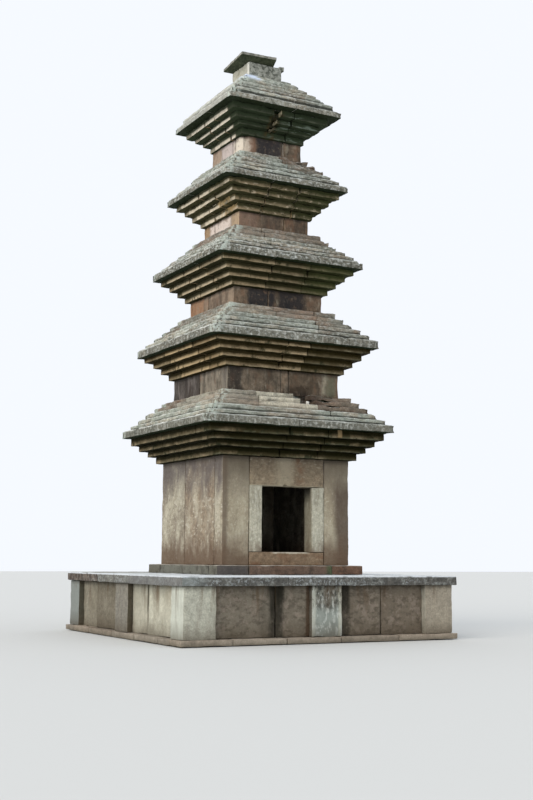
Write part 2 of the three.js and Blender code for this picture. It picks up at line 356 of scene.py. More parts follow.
class Granite:
    """A granite finish, as dirt, growth, lime and in places painted light and shade are laid over the dressed
    stone in coats.
    """

    def __init__(self, name, dark, pale, rusty, grain=0.2, mottle=0.22):
        """Dressed granite before any coat: a tone for each stone, cloudy over its face, mottled by
        weather, with a grain of mica and feldspar. The real grains are 2 to 4 mm wide and are
        drawn 25 mm wide to show."""
        self.material = bpy.data.materials.new(name)
        self.material.use_nodes = True
        self.tree = self.material.node_tree
        self.colour = linear(dark)
        tone = add_node(self.tree, "ShaderNodeMath", {0: self.patches(0.5, 0.3, 0.7), 1: 0.35,
                                                      2: self.stored("tone")}, operation="MULTIPLY_ADD")
        lean = add_node(self.tree, "ShaderNodeMath", {0: tone.outputs[0], 1: 0.17},
                        operation="SUBTRACT", use_clamp=True)
        self.coat(pale, 1, lean.outputs[0])
        self.coat(rusty, 1, self.stored("rust"))
        for size, share in ((0.025, grain), (0.08, mottle)):
            light = add_node(self.tree, "ShaderNodeMath", {0: self.patches(size, 0.3, 0.7, detail=3),
                                                           1: 2 * share, 2: 1 - share},
                             operation="MULTIPLY_ADD")
            mixed = add_node(self.tree, "ShaderNodeMix", {0: 1.0, 6: self.colour, 7: light.outputs[0]},
                             data_type="RGBA", blend_type="MULTIPLY")
            self.colour = mixed.outputs[2]

    def times(self, *masks):
        """Masks and numbers multiplied."""
        product = masks[0]
        for mask in masks[1:]:
            both = add_node(self.tree, "ShaderNodeMath", {0: product, 1: mask}, operation="MULTIPLY")
            product = both.outputs[0]
        return product

    def rest_of(self, mask):
        """What a mask leaves free."""
        return add_node(self.tree, "ShaderNodeMath", {0: 1.0, 1: mask}, operation="SUBTRACT").outputs[0]

    def coat(self, colour, strength, *masks):
        """Lays a coat of a colour over the stone, as strong as all the masks let it be."""
        mixed = add_node(self.tree, "ShaderNodeMix", {0: self.times(*masks, strength), 6: self.colour,
                                                      7: linear(colour)}, data_type="RGBA")
        self.colour = mixed.outputs[2]

    def stored(self, name):
        """A value kept on the mesh, such as a stone's tone."""
        return add_node(self.tree, "ShaderNodeAttribute", attribute_name=name).outputs["Fac"]

    def clouds(self, size, stretch, detail, rough, offset=0.0):
        """Cloudy noise over the surface, about `size` metres wide before it is stretched."""
        place = add_node(self.tree, "ShaderNodeTexCoord").outputs["Object"]
        moved = add_node(self.tree, "ShaderNodeMapping", {"Vector": place, "Scale": stretch,
                                                         "Location": (offset, offset, offset)})
        noise = add_node(self.tree, "ShaderNodeTexNoise", {"Vector": moved.outputs[0], "Scale": 1 / size,
                                                          "Detail": detail, "Roughness": rough})
        return noise.outputs["Fac"]

    def patches(self, size, low, high, stretch=(1, 1, 1), detail=5, offset=0.0):
        """A mask of irregular patches, full above the high value of the clouds."""
        cloudy = self.clouds(size, stretch, detail, 0.6, offset)
        limits = {"Value": cloudy, "From Min": low, "From Max": high}
        return add_node(self.tree, "ShaderNodeMapRange", limits).outputs[0]

    def along(self, axis, none, full, wobble=0.0, wobble_size=0.2, stretch=(1, 1, 0.15)):
        """A mask by place along an axis: nothing at one place, all at another, with an uneven border.

        The axis "level" goes from 0 at each stone's bottom to 1 at its top, and "course" counts the
        courses from the lowest, 0."""
        if axis in ("level", "course"):
            reached = self.stored(axis)
            stretch = (1, 1, 1)
        else:
            place = add_node(self.tree, "ShaderNodeTexCoord").outputs["Object"]
            reached = add_node(self.tree, "ShaderNodeSeparateXYZ", {0: place}).outputs[axis]
        if wobble:
            cloudy = self.clouds(wobble_size, stretch, 3, 0.5)
            centred = add_node(self.tree, "ShaderNodeMath", {0: cloudy, 1: 0.5}, operation="SUBTRACT")
            moved = add_node(self.tree, "ShaderNodeMath", {0: centred.outputs[0], 1: 2 * wobble, 2: reached},
                             operation="MULTIPLY_ADD")
            reached = moved.outputs[0]
        limits = {"Value": reached, "From Min": none, "From Max": full}
        return add_node(self.tree, "ShaderNodeMapRange", limits).outputs[0]

    def between(self, axis, start, end, soft, *border):
        """A mask of the stretch between two places on an axis, soft at both."""
        return self.times(self.along(axis, start, start + soft, *border),
                          self.along(axis, end, end - soft, *border))

    def facing(self, axis, none=-0.4, full=-0.9):
        """A mask by which way the surface faces along an axis, from -1 to 1."""
        normal = add_node(self.tree, "ShaderNodeNewGeometry").outputs["Normal"]
        part = add_node(self.tree, "ShaderNodeSeparateXYZ", {0: normal}).outputs[axis]
        limits = {"Value": part, "From Min": none, "From Max": full}
        return add_node(self.tree, "ShaderNodeMapRange", limits).outputs[0]

    def finish(self, roughness=0.9, pit_depth=0.012, shine=0.25):
        """The finished material, with pits of 10 mm and 40 mm as bump."""
        shader = self.tree.nodes["Principled BSDF"]
        shader.inputs["Roughness"].default_value = roughness
        shader.inputs["Specular IOR Level"].default_value = shine
        fine = self.patches(0.012, 0.25, 0.75, detail=3)
        broad = self.patches(0.045, 0.25, 0.75, detail=4, offset=7.0)
        height = add_node(self.tree, "ShaderNodeMath", {0: broad, 1: 2.0, 2: fine}, operation="MULTIPLY_ADD")
        bump = add_node(self.tree, "ShaderNodeBump", {"Height": height.outputs[0], "Distance": pit_depth,
                                                     "Strength": 0.5})
        self.tree.links.new(bump.outputs[0], shader.inputs["Normal"])
        self.tree.links.new(self.colour, shader.inputs["Base Color"])
        return self.material


def foot_granite():
    """Split pale granite, dirtied from the ground up."""
    stone = Granite("split_granite_foot", "#6f675c", "#b3aa9b", "#8a6a4c")
    stone.coat("#5a5648", 0.7, stone.along("Z", 0.10, 0.0))
    return stone.finish()


foot_finish = foot_granite()
draw = random.Random(11)
for side in ("front", "back", "west", "east"):
    node = f"foot_course_{side}"
    low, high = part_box(node)
    run_axis = 0 if high.x - low.x > high.y - low.y else 1
    for axis in (0, 1):
        edge = cad_box[1][axis] - FOOT_INSET
        low[axis], high[axis] = max(low[axis], -edge), min(high[axis], edge)
    low.z += FOOT_LIFT
    looks = [(draw.uniform(0.3, 0.75), draw.uniform(0, 0.25)) for _ in range(len(FOOT_CUTS) + 1)]
    stones = row_of_stones(low, high, run_axis, FOOT_CUTS, looks)
    lay(node, "stones", stones, FOOT_FACE, FOOT_WEAR, foot_finish, "pale_granite", seed=len(node))


# Base fill. Rubble and packed earth inside the walls, which only shows as the dark behind
# the open joints.
def packed_rubble():
    """Earth and broken stone, dark and damp."""
    stone = Granite("packed_rubble", "#3b352c", "#6b6154", "#5c4632")
    return stone.finish(roughness=1.0, pit_depth=0.03)


frame["nodes"]["base_fill"].material_slots[0].material = packed_rubble()


# Base walls. A pale pillar at each corner and a grey one in the middle of each side, with upright
# slabs between them that stand 90 mm back. Rain runs off the cap and draws streaks on all of them.
WALL_FACE = 0.06
PILLAR_WEAR = (0.012, 0.005, 0.025)
PANEL_WEAR = (0.02, 0.008, 0.03)
PANEL_SETTLE = 0.012
PANEL_CUTS = {"front": (-0.84, 0.02, 1.07), "west": (-0.9, -0.02, 1.3)}
PANEL_TONES = {
    "front": ((0.5, 0.15), (0.55, 0.2), (0.35, 0.3), (0.3, 0.4)),
    "west": ((0.85, 0.0), (0.5, 0.1), (0.0, 0.15), (0.25, 0.15)),
}
PILLAR_TONES = {
    "corner_pillar_front_west": (0.95, 0.0),
    "corner_pillar_front_east": (0.45, 0.4),
    "corner_pillar_back_west": (0.2, 0.0),
    "corner_pillar_back_east": (0.75, 0.1),
    "middle_pillar_west": (0.0, 0.25),
    "middle_pillar_east": (0.5, 0.2),
    "middle_pillar_front": (0.6, 0.05),
    "middle_pillar_back": (0.6, 0.05),
}
GREY_PILLARS = ("middle_pillar_front", "middle_pillar_back")


def add_ground_and_rain(stone):
    """Dirt off the ground, dark runs down from under the cap, and painted shade just under the cap."""
    stone.coat("#544a3a", 0.55, stone.along("Z", 0.36, 0.12, 0.12))
    runs = stone.patches(0.16, 0.54, 0.66, stretch=(1, 1, 0.12), detail=3)
    below_cap = stone.along("Z", 0.3, 0.8, 0.2, 0.1)
    stone.coat("#5b4834", 0.6, runs, below_cap)
    # Painted shade: a darker band at the head of the wall, under the cap's overhang.
    stone.coat("#3f382d", 0.5, stone.along("Z", 0.80, 0.87, 0.04, 0.1))


def pillar_granite():
    """Grey-beige granite, tooled flat and bleached, most of all on the west."""
    stone = Granite("tooled_granite_pillar", "#747a76", "#b3b3a4", "#9d8468")
    west = stone.facing("X")
    stone.coat("#cfd4c8", 0.75, west, stone.stored("tone"))
    runs = stone.patches(0.1, 0.48, 0.68, stretch=(1, 1, 0.2), detail=3, offset=4.0)
    stone.coat("#8d867a", 0.4, runs)
    stone.coat("#7f8582", 0.75, west, stone.along("Y", 1.6, 1.9, 0.02))
    # Painted shadow: the front-facing side of a pillar, in the recess beside the slab, is darkened.
    stone.coat("#413b2a", 0.8, stone.facing("Y"), stone.along("Y", -0.6, -0.4, 0.02))
    add_ground_and_rain(stone)
    return stone.finish()


def grey_pillar_granite():
    """Grey granite, white with lime and black with growth in its upper half, pale at both borders."""
    stone = Granite("lime_streaked_granite", "#4e4e46", "#7f8077", "#8d7b66", mottle=0.4)
    low_down = stone.along("Z", 0.6, 0.48, 0.1, 0.15)
    stone.coat("#9ba49d", 0.65, low_down)
    west_border = stone.along("X", -0.17, -0.21, 0.04)
    east_border = stone.along("X", 0.2, 0.24, 0.03)
    stone.coat("#bdbfb2", 0.7, west_border)
    stone.coat("#c3c4b4", 0.75, east_border)
    white = stone.patches(0.055, 0.52, 0.6, stretch=(1, 1, 0.5), offset=2.0)
    black = stone.patches(0.05, 0.5, 0.58, stretch=(1, 1, 0.5), offset=9.0)
    high_up = stone.along("Z", 0.4, 0.65, 0.2, 0.15)
    stone.coat("#cdd1ca", 0.55, white)
    stone.coat("#2f312b", 0.75, black, high_up)
    # Painted shadow with some rust: the pillar's west side, in the recess beside the slab, is dark brown.
    stone.coat("#3d2f20", 0.75, stone.facing("X"))
    add_ground_and_rain(stone)
    return stone.finish()


def panel_granite():
    """Brown-grey slabs, rougher than the pillars, black where water stays under the cap."""
    stone = Granite("rough_granite_panel", "#6f6d60", "#c0beac", "#8c7058")
    soaked = stone.patches(0.2, 0.48, 0.64, stretch=(1, 0.6, 0.6), detail=4, offset=3.0)
    stone.coat("#7d7766", 0.5, soaked)
    stone.coat("#d9d7c5", 0.3, stone.facing("X"), stone.along("Y", 0.2, -0.2, 0.2))
    front = stone.along("Y", -2.16, -2.2)
    stone.coat("#655c50", 0.7, front)
    pitted = stone.patches(0.06, 0.5, 0.6, stretch=(0.6, 1, 1), detail=6, offset=6.0)
    stone.coat("#463f36", 0.5, pitted, front)
    pinkish = stone.patches(0.09, 0.52, 0.62, detail=6, offset=1.0)
    stone.coat("#94877a", 0.5, pinkish, front)
    add_ground_and_rain(stone)
    run_west = stone.between("X", -1.08, -0.60, 0.18, 0.2, 0.12)
    run_black = stone.between("X", -0.96, -0.64, 0.08, 0.12, 0.12)
    run_east = stone.times(stone.along("X", 0.3, 0.31), stone.along("X", 0.5, 0.44, 0.06))
    rust_and_shadow_strip = stone.times(stone.along("X", -0.32, -0.29, 0.02), stone.along("X", -0.2, -0.21))
    high_up = stone.along("Z", 0.2, 0.7, 0.2)
    broken = stone.patches(0.08, 0.3, 0.52, stretch=(1, 1, 0.7), offset=21.0)
    stone.coat("#2f2c25", 0.5, run_west, front)
    for run, growth in ((run_black, "#1a190f"), (run_east, "#1d1b13")):
        stone.coat(growth, 0.6, run, broken, front)
        stone.coat(growth, 0.75, run, front, high_up)
    # Rust and painted shadow: a dark brown strip on the slab beside the middle pillar, where the pillar
    # shades it.
    stone.coat("#45321f", 0.75, rust_and_shadow_strip, front)
    west = stone.facing("X")
    run_brown = stone.between("Y", -1.34, -1.19, 0.05, 0.03)
    stone.coat("#6e5c45", 0.75, run_brown, stone.along("Z", 0.42, 0.75), west)
    wet_joint = stone.between("Y", -0.95, -0.85, 0.03, 0.02)
    stone.coat("#3d3728", 0.85, wet_joint, stone.along("Z", 0.12, 0.5), west)
    corner_dirt = stone.along("Y", -1.45, -1.7, 0.15)
    stone.coat("#8b7a62", 0.5, corner_dirt, stone.along("Z", 0.5, 0.8), west)
    return stone.finish()


pillar_finish = pillar_granite()
grey_pillar_finish = grey_pillar_granite()
panel_finish = panel_granite()
for node, (tone, rust) in PILLAR_TONES.items():
    low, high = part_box(node)
    finish = grey_pillar_finish if node in GREY_PILLARS else pillar_finish
    lay(node, "stone", [(low, high, tone, rust)], WALL_FACE, PILLAR_WEAR, finish, "pale_granite")
for side in ("front", "back", "west", "east"):
    node = f"wall_panels_{side}"
    run_axis = 0 if side in ("front", "back") else 1
    like = "front" if run_axis == 0 else "west"
    flip = -1 if side in ("back", "east") else 1
    cuts = [flip * cut for cut in PANEL_CUTS[like]]
    stones = row_of_stones(*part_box(node), run_axis, cuts, PANEL_TONES[like][::flip])
    slot = "brown_granite" if run_axis == 0 else "pale_granite"
    lay(node, "slabs", stones, WALL_FACE, PANEL_WEAR, panel_finish, slot, PANEL_SETTLE, seed=5)


# Cap. Thick slabs laid level over the walls, their edges roughly worked. Rain keeps the top pale,
# and painted light makes it paler; the edges are black with growth, less so on the west.
CAP_FACE = 0.085
CAP_WEAR = (0.014, 0.006, 0.022)
CAP_SETTLE = 0.012
SLAB_INSET = 0.003
CAP_CUTS = {"cap_west": (-0.423, 0.953), "cap_east": (-0.95, 0.41), "cap_front": (), "cap_back": ()}
CAP_TONES = {"cap_west": ((0.55, 0.1), (0.6, 0.05), (0.4, 0.45)), "cap_front": ((0.45, 0.1),),
             "cap_back": ((0.5, 0.1),), "cap_east": ((0.4, 0.2), (0.55, 0.1), (0.5, 0.1))}


def cap_granite():
    """Weathered granite slabs: black growth on the edges, lichen in spots, a top bleached and painted lighter
    as lit.
    """
    stone = Granite("weathered_cap_granite", "#55544e", "#8f8e86", "#77604d")
    front = stone.facing("Y")
    stone.coat("#4c4d4b", 0.6, front)
    black = stone.patches(0.12, 0.46, 0.64, stretch=(1, 1, 0.6), detail=6, offset=3.0)
    stone.coat("#383937", 0.45, black)
    spots = stone.patches(0.06, 0.5, 0.66, stretch=(0.6, 0.6, 1))
    stone.coat("#a9ada8", 0.5, spots)
    pores = stone.patches(0.035, 0.5, 0.58, detail=6, offset=11.0)
    stone.coat("#2c2c2f", 0.35, pores)
    flecks = stone.patches(0.035, 0.53, 0.6, detail=6, offset=13.0)
    in_drifts = stone.patches(0.8, 0.45, 0.6, offset=3.0)
    stone.coat("#c2cbce", 0.4, flecks, in_drifts)
    west = stone.facing("X")
    stone.coat("#787a7b", 0.5, west, stone.along("Y", -0.3, -0.6, 0.05))
    far_end = stone.times(stone.along("Y", 0.95, 0.956), stone.along("X", -0.685, -0.692))
    soot = stone.patches(0.1, 0.46, 0.56, stretch=(1, 1.4, 0.7), detail=6, offset=7.0)
    stone.coat("#3f352f", 0.8, west, far_end, soot)
    stone.coat("#97a09e", 0.45, front, stone.along("X", -2.0, -2.25, 0.1))
    # Partly bleaching, partly painted light: faces turned up to the sky are made paler.
    top = stone.facing("Z", 0.5, 0.85)
    stone.coat("#c6cbcb", 0.85, top)
    washed_edge = stone.along("Z", 0.995, 1.005, 0.006, 0.08, stretch=(1, 1, 1))
    stone.coat("#e4ebf0", 0.85, washed_edge, stone.patches(0.3, 0.3, 0.45))
    settled = stone.patches(0.35, 0.42, 0.7, detail=7)
    stone.coat("#8a8b82", 0.45, top, settled)
    lichen = stone.patches(0.09, 0.56, 0.62, detail=6, offset=2.0)
    stone.coat("#d4d9d6", 0.6, top, lichen)
    stone.coat("#8c8b7e", 0.75, top, far_end)
    return stone.finish(pit_depth=0.02)


cap_finish = cap_granite()
for node, cuts in CAP_CUTS.items():
    stones = row_of_stones(*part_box(node), 1, cuts, CAP_TONES[node], SLAB_INSET)
    lay(node, "slabs", stones, CAP_FACE, CAP_WEAR, cap_finish, "dark_granite", CAP_SETTLE, seed=9)


# Plinth. One low course that carries the first storey and stands out 160 mm from it, dark and
# stained by the soil that rain splashes up.
PLINTH_WEAR = (0.012, 0.006, 0.03)
PLINTH_CUTS = {"plinth_front": (-0.787, 0.755), "plinth_west": (), "plinth_east": (),
               "plinth_back": (-0.6, 0.4)}
PLINTH_TONES = {"plinth_front": ((0.35, 0.15), (0.3, 0.5), (0.25, 0.75)), "plinth_west": ((0.6, 0.0),),
                "plinth_east": ((0.4, 0.3),), "plinth_back": ((0.4, 0.2), (0.3, 0.4), (0.4, 0.3))}


def inside_chamber(stone):
    """A mask of the chamber behind the niche, where neither rain nor light comes; it is painted near-black as
    shade.
    """
    return stone.times(stone.between("X", -0.905, 0.905, 0.02), stone.between("Y", -0.905, 0.905, 0.02))


def plinth_granite():
    """Dark granite with soil in its pores, and green growth by a joint."""
    stone = Granite("soil_stained_granite", "#4c443b", "#83807a", "#6e503d")
    stone.coat("#6f7266", 0.6, stone.facing("X"))
    stone.coat("#4d6140", 0.7, stone.along("X", 0.62, 0.70, 0.04), stone.along("X", 0.76, 0.752))
    stone.coat("#332e28", 0.5, stone.patches(0.15, 0.5, 0.62))
    stone.coat("#4b4a4a", 0.6, stone.along("X", -0.75, -0.85), stone.facing("Y"))
    # Partly dust, partly painted light: faces turned up to the sky are made pale.
    stone.coat("#c6c0b4", 0.85, stone.facing("Z", 0.15, 0.5))
    # Painted shade: the inside of the chamber is made near-black.
    stone.coat("#020202", 1, inside_chamber(stone))
    return stone.finish(pit_depth=0.016)


plinth_finish = plinth_granite()
for node, cuts in PLINTH_CUTS.items():
    stones = row_of_stones(*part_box(node), 0, cuts, PLINTH_TONES[node], SLAB_INSET)
    lay(node, "stones", stones, WALL_FACE, PLINTH_WEAR, plinth_finish, "dark_granite", seed=4)


# First storey. Upright slabs 300 mm thick round a hollow chamber, tooled flat. Their heads are
# purple-grey with old growth, and their feet brown with splashed soil.
SLAB_FACE = 0.06
SLAB_GAP = 0.004
SLAB_WEAR = (0.012, 0.004, 0.022)
STOREY_SLABS = {
    "front_slab_west": ("brown_granite", 0.62, 0.12),
    "front_slab_east": ("brown_granite", 0.5, 0.2),
    "west_slab_front": ("pale_granite", 0.35, 0.35),
    "west_slab_back": ("pale_granite", 0.65, 0.0),
    "east_slab_front": ("pale_granite", 0.6, 0.15),
    "east_slab_back": ("pale_granite", 0.55, 0.25),
    "back_slab_west": ("brown_granite", 0.55, 0.2),
    "back_slab_east": ("brown_granite", 0.5, 0.25),
}


def splash(stone, border=1.72, strength=0.85):
    """Soil splashed up from the plinth, thick at the foot and drawn out in drips above."""
    foot = stone.along("Z", border, 1.36, 0.3, 0.12, stretch=(1, 1, 0.4))
    stone.coat("#685647", strength, foot)


def slab_granite():
    """Beige granite with upright runs of rain, dark purple at the head and brown at the foot."""
    stone = Granite("rain_streaked_granite", "#776f62", "#b7b09c", "#9b8168", grain=0.18)
    pale_clouds = stone.patches(0.3, 0.42, 0.62, stretch=(1, 1, 0.5), detail=3)
    stone.coat("#cdc8b4", 0.5, pale_clouds)
    dark_clouds = stone.patches(0.26, 0.5, 0.66, stretch=(1, 1, 0.4), detail=3, offset=5.0)
    stone.coat("#6f6257", 0.5, dark_clouds)
    pecked = stone.patches(0.04, 0.54, 0.64, stretch=(1, 0.5, 0.8), detail=4, offset=2.0)
    stone.coat("#6d6357", 0.4, pecked)
    worn = stone.patches(0.04, 0.56, 0.66, stretch=(1, 0.5, 0.8), detail=4, offset=7.0)
    stone.coat("#d9d4c4", 0.5, worn)
    head = stone.along("Z", 2.2, 2.75, 0.5, 0.16, stretch=(1, 1, 0.4))
    stone.coat("#645d5b", 0.85, head, stone.patches(0.5, 0.15, 0.5, offset=4.0))
    front = stone.facing("Y")
    stone.coat("#a89e84", 0.4, front)
    stone.coat("#5a5041", 0.65, stone.along("Z", 2.25, 2.85, 0.3, 0.16), front)
    # Painted shade: a darker band at the head of the slabs, under the roof corbels.
    shade_under_roof = stone.along("Z", 2.80, 2.91, 0.05, 0.1)
    stone.coat("#4c443c", 0.6, shade_under_roof)
    corner_run = stone.along("X", -1.07, -1.13, 0.03, stretch=(1, 1, 0.3))
    stone.coat("#63564a", 0.7, corner_run, front)
    east_run = stone.times(stone.along("X", 0.84, 0.98, 0.1, 0.3), stone.along("Z", 2.7, 2.4, 0.3))
    stone.coat("#4f4139", 0.8, east_run, front)
    splash(stone)
    # Painted shade: the inside of the chamber is made near-black.
    stone.coat("#020202", 1, inside_chamber(stone))
    return stone.finish(shine=0.1)


slab_finish = slab_granite()
for node, (slot, tone, rust) in STOREY_SLABS.items():
    low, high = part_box(node)
    gap = Vector((SLAB_GAP, SLAB_GAP, 0))
    lay(node, "stone", [(low + gap, high - gap, tone, rust)], SLAB_FACE, SLAB_WEAR, slab_finish, slot)


# Niche frame. A sill and a lintel between the front slabs, with two jambs set between them. Each
# jamb is one stone, rebated 110 mm behind its face, where a door once closed.
JAMB_REBATE_DEEP = 0.018
JAMB_REBATE_FROM_FACE = 0.11
BED_GAP = 0.002
JAMB_WEAR = (0.006, 0.003, 0.016)
SILL_WEAR = (0.01, 0.005, 0.024)
# Chips along the lintel's lower edge: place along it, and half width
LINTEL_CHIPS = ((-0.03, 0.05), (0.07, 0.035), (0.3, 0.025))
LINTEL_CHIP_IN = 0.06
LINTEL_CHIP_UP = 0.05
LINTEL_CHIP_DEPTH = 0.03


def jamb_granite():
    """Pale yellowish granite, cleaner than the slabs, with thin upright runs."""
    stone = Granite("pale_jamb_granite", "#8f8b7c", "#bebba8", "#8c6d52", mottle=0.2)
    runs = stone.patches(0.09, 0.48, 0.66, stretch=(1, 1, 0.1), detail=2)
    stone.coat("#857e6c", 0.5, runs)
    worn = stone.patches(0.04, 0.54, 0.66, stretch=(1, 1, 0.5), detail=4, offset=6.0)
    stone.coat("#d6d4c4", 0.5, worn)
    sheltered = stone.along("Y", -1.17, -1.14)
    stone.coat("#8c826c", 0.5, sheltered)
    # Painted shade: the inner end of the reveal, towards the chamber, is darkened.
    deep = stone.along("Y", -0.93, -0.89)
    stone.coat("#2e281e", 0.8, deep)
    # Painted shadow: the lintel's shadow on the top of the reveal, near the front.
    stone.coat("#191610", 0.85, stone.along("Z", 2.15, 2.42, 0.03), stone.along("Y", -1.18, -1.1))
    splash(stone, 1.56, 0.7)
    return stone.finish()


def lintel_granite():
    """Brown granite, darker along its head."""
    stone = Granite("brown_lintel_granite", "#6a6150", "#a59b83", "#80614b", mottle=0.25)
    head = stone.along("Z", 2.55, 2.9, 0.12, 0.1)
    stone.coat("#4f453a", 0.65, head)
    brown = stone.between("X", 0.12, 0.36, 0.08, 0.05)
    stone.coat("#6e4b33", 0.45, brown, stone.patches(0.12, 0.4, 0.6))
    tooling = stone.patches(0.035, 0.54, 0.66, stretch=(0.5, 1, 1), detail=4)
    stone.coat("#b3aa94", 0.25, tooling)
    hollows = stone.patches(0.035, 0.54, 0.66, stretch=(0.5, 1, 1), detail=4, offset=3.0)
    stone.coat("#5c5344", 0.35, hollows)
    stone.coat("#a8a08a", 0.45, stone.along("X", -0.3, -0.1, 0.1), stone.along("X", 0.14, 0.06, 0.08))
    foot = stone.along("Z", 2.475, 2.452, 0.01)
    stone.coat("#c2bba4", 0.6, foot)
    return stone.finish()


def sill_granite():
    """Brown stained sill with a worn pale edge along its top."""
    stone = Granite("brown_sill_granite", "#675645", "#968770", "#7b604a", mottle=0.3)
    rusty = stone.patches(0.2, 0.5, 0.64, stretch=(0.5, 1, 1), offset=2.0)
    stone.coat("#70503a", 0.6, rusty)
    pale_edge = stone.along("Z", 1.355, 1.378, 0.03, 0.09, stretch=(1, 1, 1))
    middle = stone.between("X", -0.32, 0.45, 0.1, 0.05)
    stone.coat("#cdc7b4", 0.85, pale_edge, middle)
    return stone.finish()


def break_away(piece, place, reach, depth, label):
    """Breaks stone away round a place: it is rounded off and sinks unevenly by up to a depth."""
    away = np.linalg.norm((places_of(piece.data) - np.array(place)) / np.array(reach), axis=1)
    group = piece.vertex_groups.new(name=label)
    for index in np.flatnonzero(away < 1):
        group.add([int(index)], float(min(1.0, 1.6 * (1 - away[index]))), "REPLACE")
    rounding = piece.modifiers.new(label + "_rounding", "SMOOTH")
    rounding.factor = 0.5
    rounding.iterations = 6
    rounding.vertex_group = label
    bpy.context.view_layer.objects.active = piece
    bpy.ops.object.modifier_apply(modifier=rounding.name)
    displace(piece, label, 0.05, -1.6 * depth, 0.0, label)


for node, side in (("niche_jamb_west", -1), ("niche_jamb_east", 1)):
    low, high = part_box(node)
    gap = Vector((SLAB_GAP, 0, BED_GAP))
    low, high = low + gap, high - gap
    rebate_y = low.y + JAMB_REBATE_FROM_FACE
    narrow_low, narrow_high = low.copy(), high.copy()
    if side < 0:
        narrow_high.x -= JAMB_REBATE_DEEP
    else:
        narrow_low.x += JAMB_REBATE_DEEP
    piece = begin(node + "_stone")
    add_stone(narrow_low, narrow_high)
    bpy.ops.mesh.bisect(plane_co=(0, rebate_y, 0), plane_no=(0, 1, 0))
    select_none(False, False, True)
    for face in bmesh.from_edit_mesh(piece.data).faces:
        if face.normal.x * -side > 0.9 and face.calc_center_median().y < rebate_y:
            face.select_set(True)
    bpy.ops.mesh.extrude_region_move(TRANSFORM_OT_translate={"value": (-side * JAMB_REBATE_DEEP, 0, 0)})
    shape_stones(piece, [(low, high, {"tone": 0.7, "rust": 0.0})], SLAB_FACE)
    wear(piece, *JAMB_WEAR)
    dress(piece, jamb_granite(), "pale_granite", node)
for node, finish in (("niche_sill", sill_granite()), ("niche_lintel", lintel_granite())):
    low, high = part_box(node)
    gap = Vector((SLAB_GAP, SLAB_GAP, BED_GAP))
    piece = squared_stones(node + "_stone", [(low + gap, high - gap, 0.5, 0.25)], SLAB_FACE)
    if node == "niche_lintel":
        for count, (x, size) in enumerate(LINTEL_CHIPS):
            reach = (size, LINTEL_CHIP_IN, LINTEL_CHIP_UP)
            break_away(piece, (x, low.y, low.z), reach, LINTEL_CHIP_DEPTH, f"chip_{count}")
    wear(piece, *SILL_WEAR)
    dress(piece, finish, "brown_granite", node)


# Upper storeys. Each is a few large blocks that show as one or two joints a side. The fronts are
# dark with growth that water feeds from the roof above, and the west faces are bleached.
STOREYS = {
    "storey_2": {"x_cuts": (-0.06, 0.09), "y_cuts": (0.0,),
                 "tones": ((0.55, 0.15), (0.75, 0.4), (0.45, 0.3))},
    "storey_3": {"x_cuts": (-0.2,), "y_cuts": (0.12,), "tones": ((0.5, 0.45), (0.4, 0.5))},
    "storey_4": {"x_cuts": (0.2,), "y_cuts": (0.25,), "tones": ((0.5, 0.5), (0.45, 0.6))},
    "storey_5": {"x_cuts": (0.22,), "y_cuts": (-0.31,), "tones": ((0.6, 0.35), (0.5, 0.4))},
}
# Stains, by storey and side: from and to along the side, bottom, top, colour, strength
STAINS = {
    "storey_2": {"front": ((-1.1, -0.78, 3.9, 4.5, "#2f2b28", 0.8), (0.75, 0.81, 4.05, 4.4, "#b3ad98", 0.8),
                           (0.82, 1.0, 4.0, 4.36, "#6e705c", 0.7), (0.04, 0.46, 3.96, 4.14, "#2b231d", 0.85),
                           (0.1, 0.66, 4.05, 4.5, "#4f4334", 0.45), (-0.6, -0.2, 4.2, 4.5, "#4a3f33", 0.4)),
                 "west": ((-1.1, -0.86, 3.9, 4.5, "#6b6660", 0.5),)},
    "storey_3": {"front": ((-0.58, -0.08, 5.45, 5.8, "#24272c", 0.85),
                           (0.0, 0.5, 5.4, 5.85, "#202328", 0.85)),
                 "west": ((-0.64, 0.1, 5.5, 5.72, "#55463b", 0.45), (0.3, 0.9, 5.4, 5.85, "#a8744c", 0.5))},
    "storey_4": {"front": ((-0.3, 0.12, 6.8, 7.2, "#574c43", 0.4), (-0.75, -0.34, 6.7, 7.2, "#8f7565", 0.6),
                           (0.4, 0.62, 6.8, 7.2, "#3f3a34", 0.5)),
                 "west": ((-0.38, 0.42, 6.88, 7.11, "#eadbd0", 0.95), (0.46, 0.7, 6.7, 7.2, "#b08c5e", 0.5),
                          (-0.75, -0.42, 6.7, 7.2, "#c4ab8c", 0.75))},
    "storey_5": {"west": ((0.2, 0.6, 8.0, 8.6, "#b59b82", 0.5), (-0.3, 0.2, 8.0, 8.6, "#ddd0ca", 0.75),
                          (-0.26, -0.22, 8.1, 8.6, "#3a2c24", 0.7),
                          (-0.65, -0.27, 8.16, 8.5, "#efe4d2", 0.95)),
                 "front": ((-0.62, -0.41, 8.2, 8.49, "#dccfbd", 0.9),
                           (-0.47, -0.3, 8.1, 8.6, "#8c6a56", 0.55),
                           (-0.3, 0.18, 8.1, 8.6, "#292a2f", 0.85),
                           (0.15, 0.35, 8.18, 8.25, "#d5d0c4", 0.8))},
}
WEST_COLOURS = {"storey_2": "#979082", "storey_3": "#ac9a86", "storey_4": "#b5a18f", "storey_5": "#b9aca2"}
BLOCK_WEAR = (0.016, 0.006, 0.03)
BLOCK_SETTLE = 0.01
BROKEN_CORNER_BELOW_HEAD = 0.12
BROKEN_CORNER_REACH = (0.14, 0.10, 0.3)
BROKEN_CORNER_DEPTH = 0.05


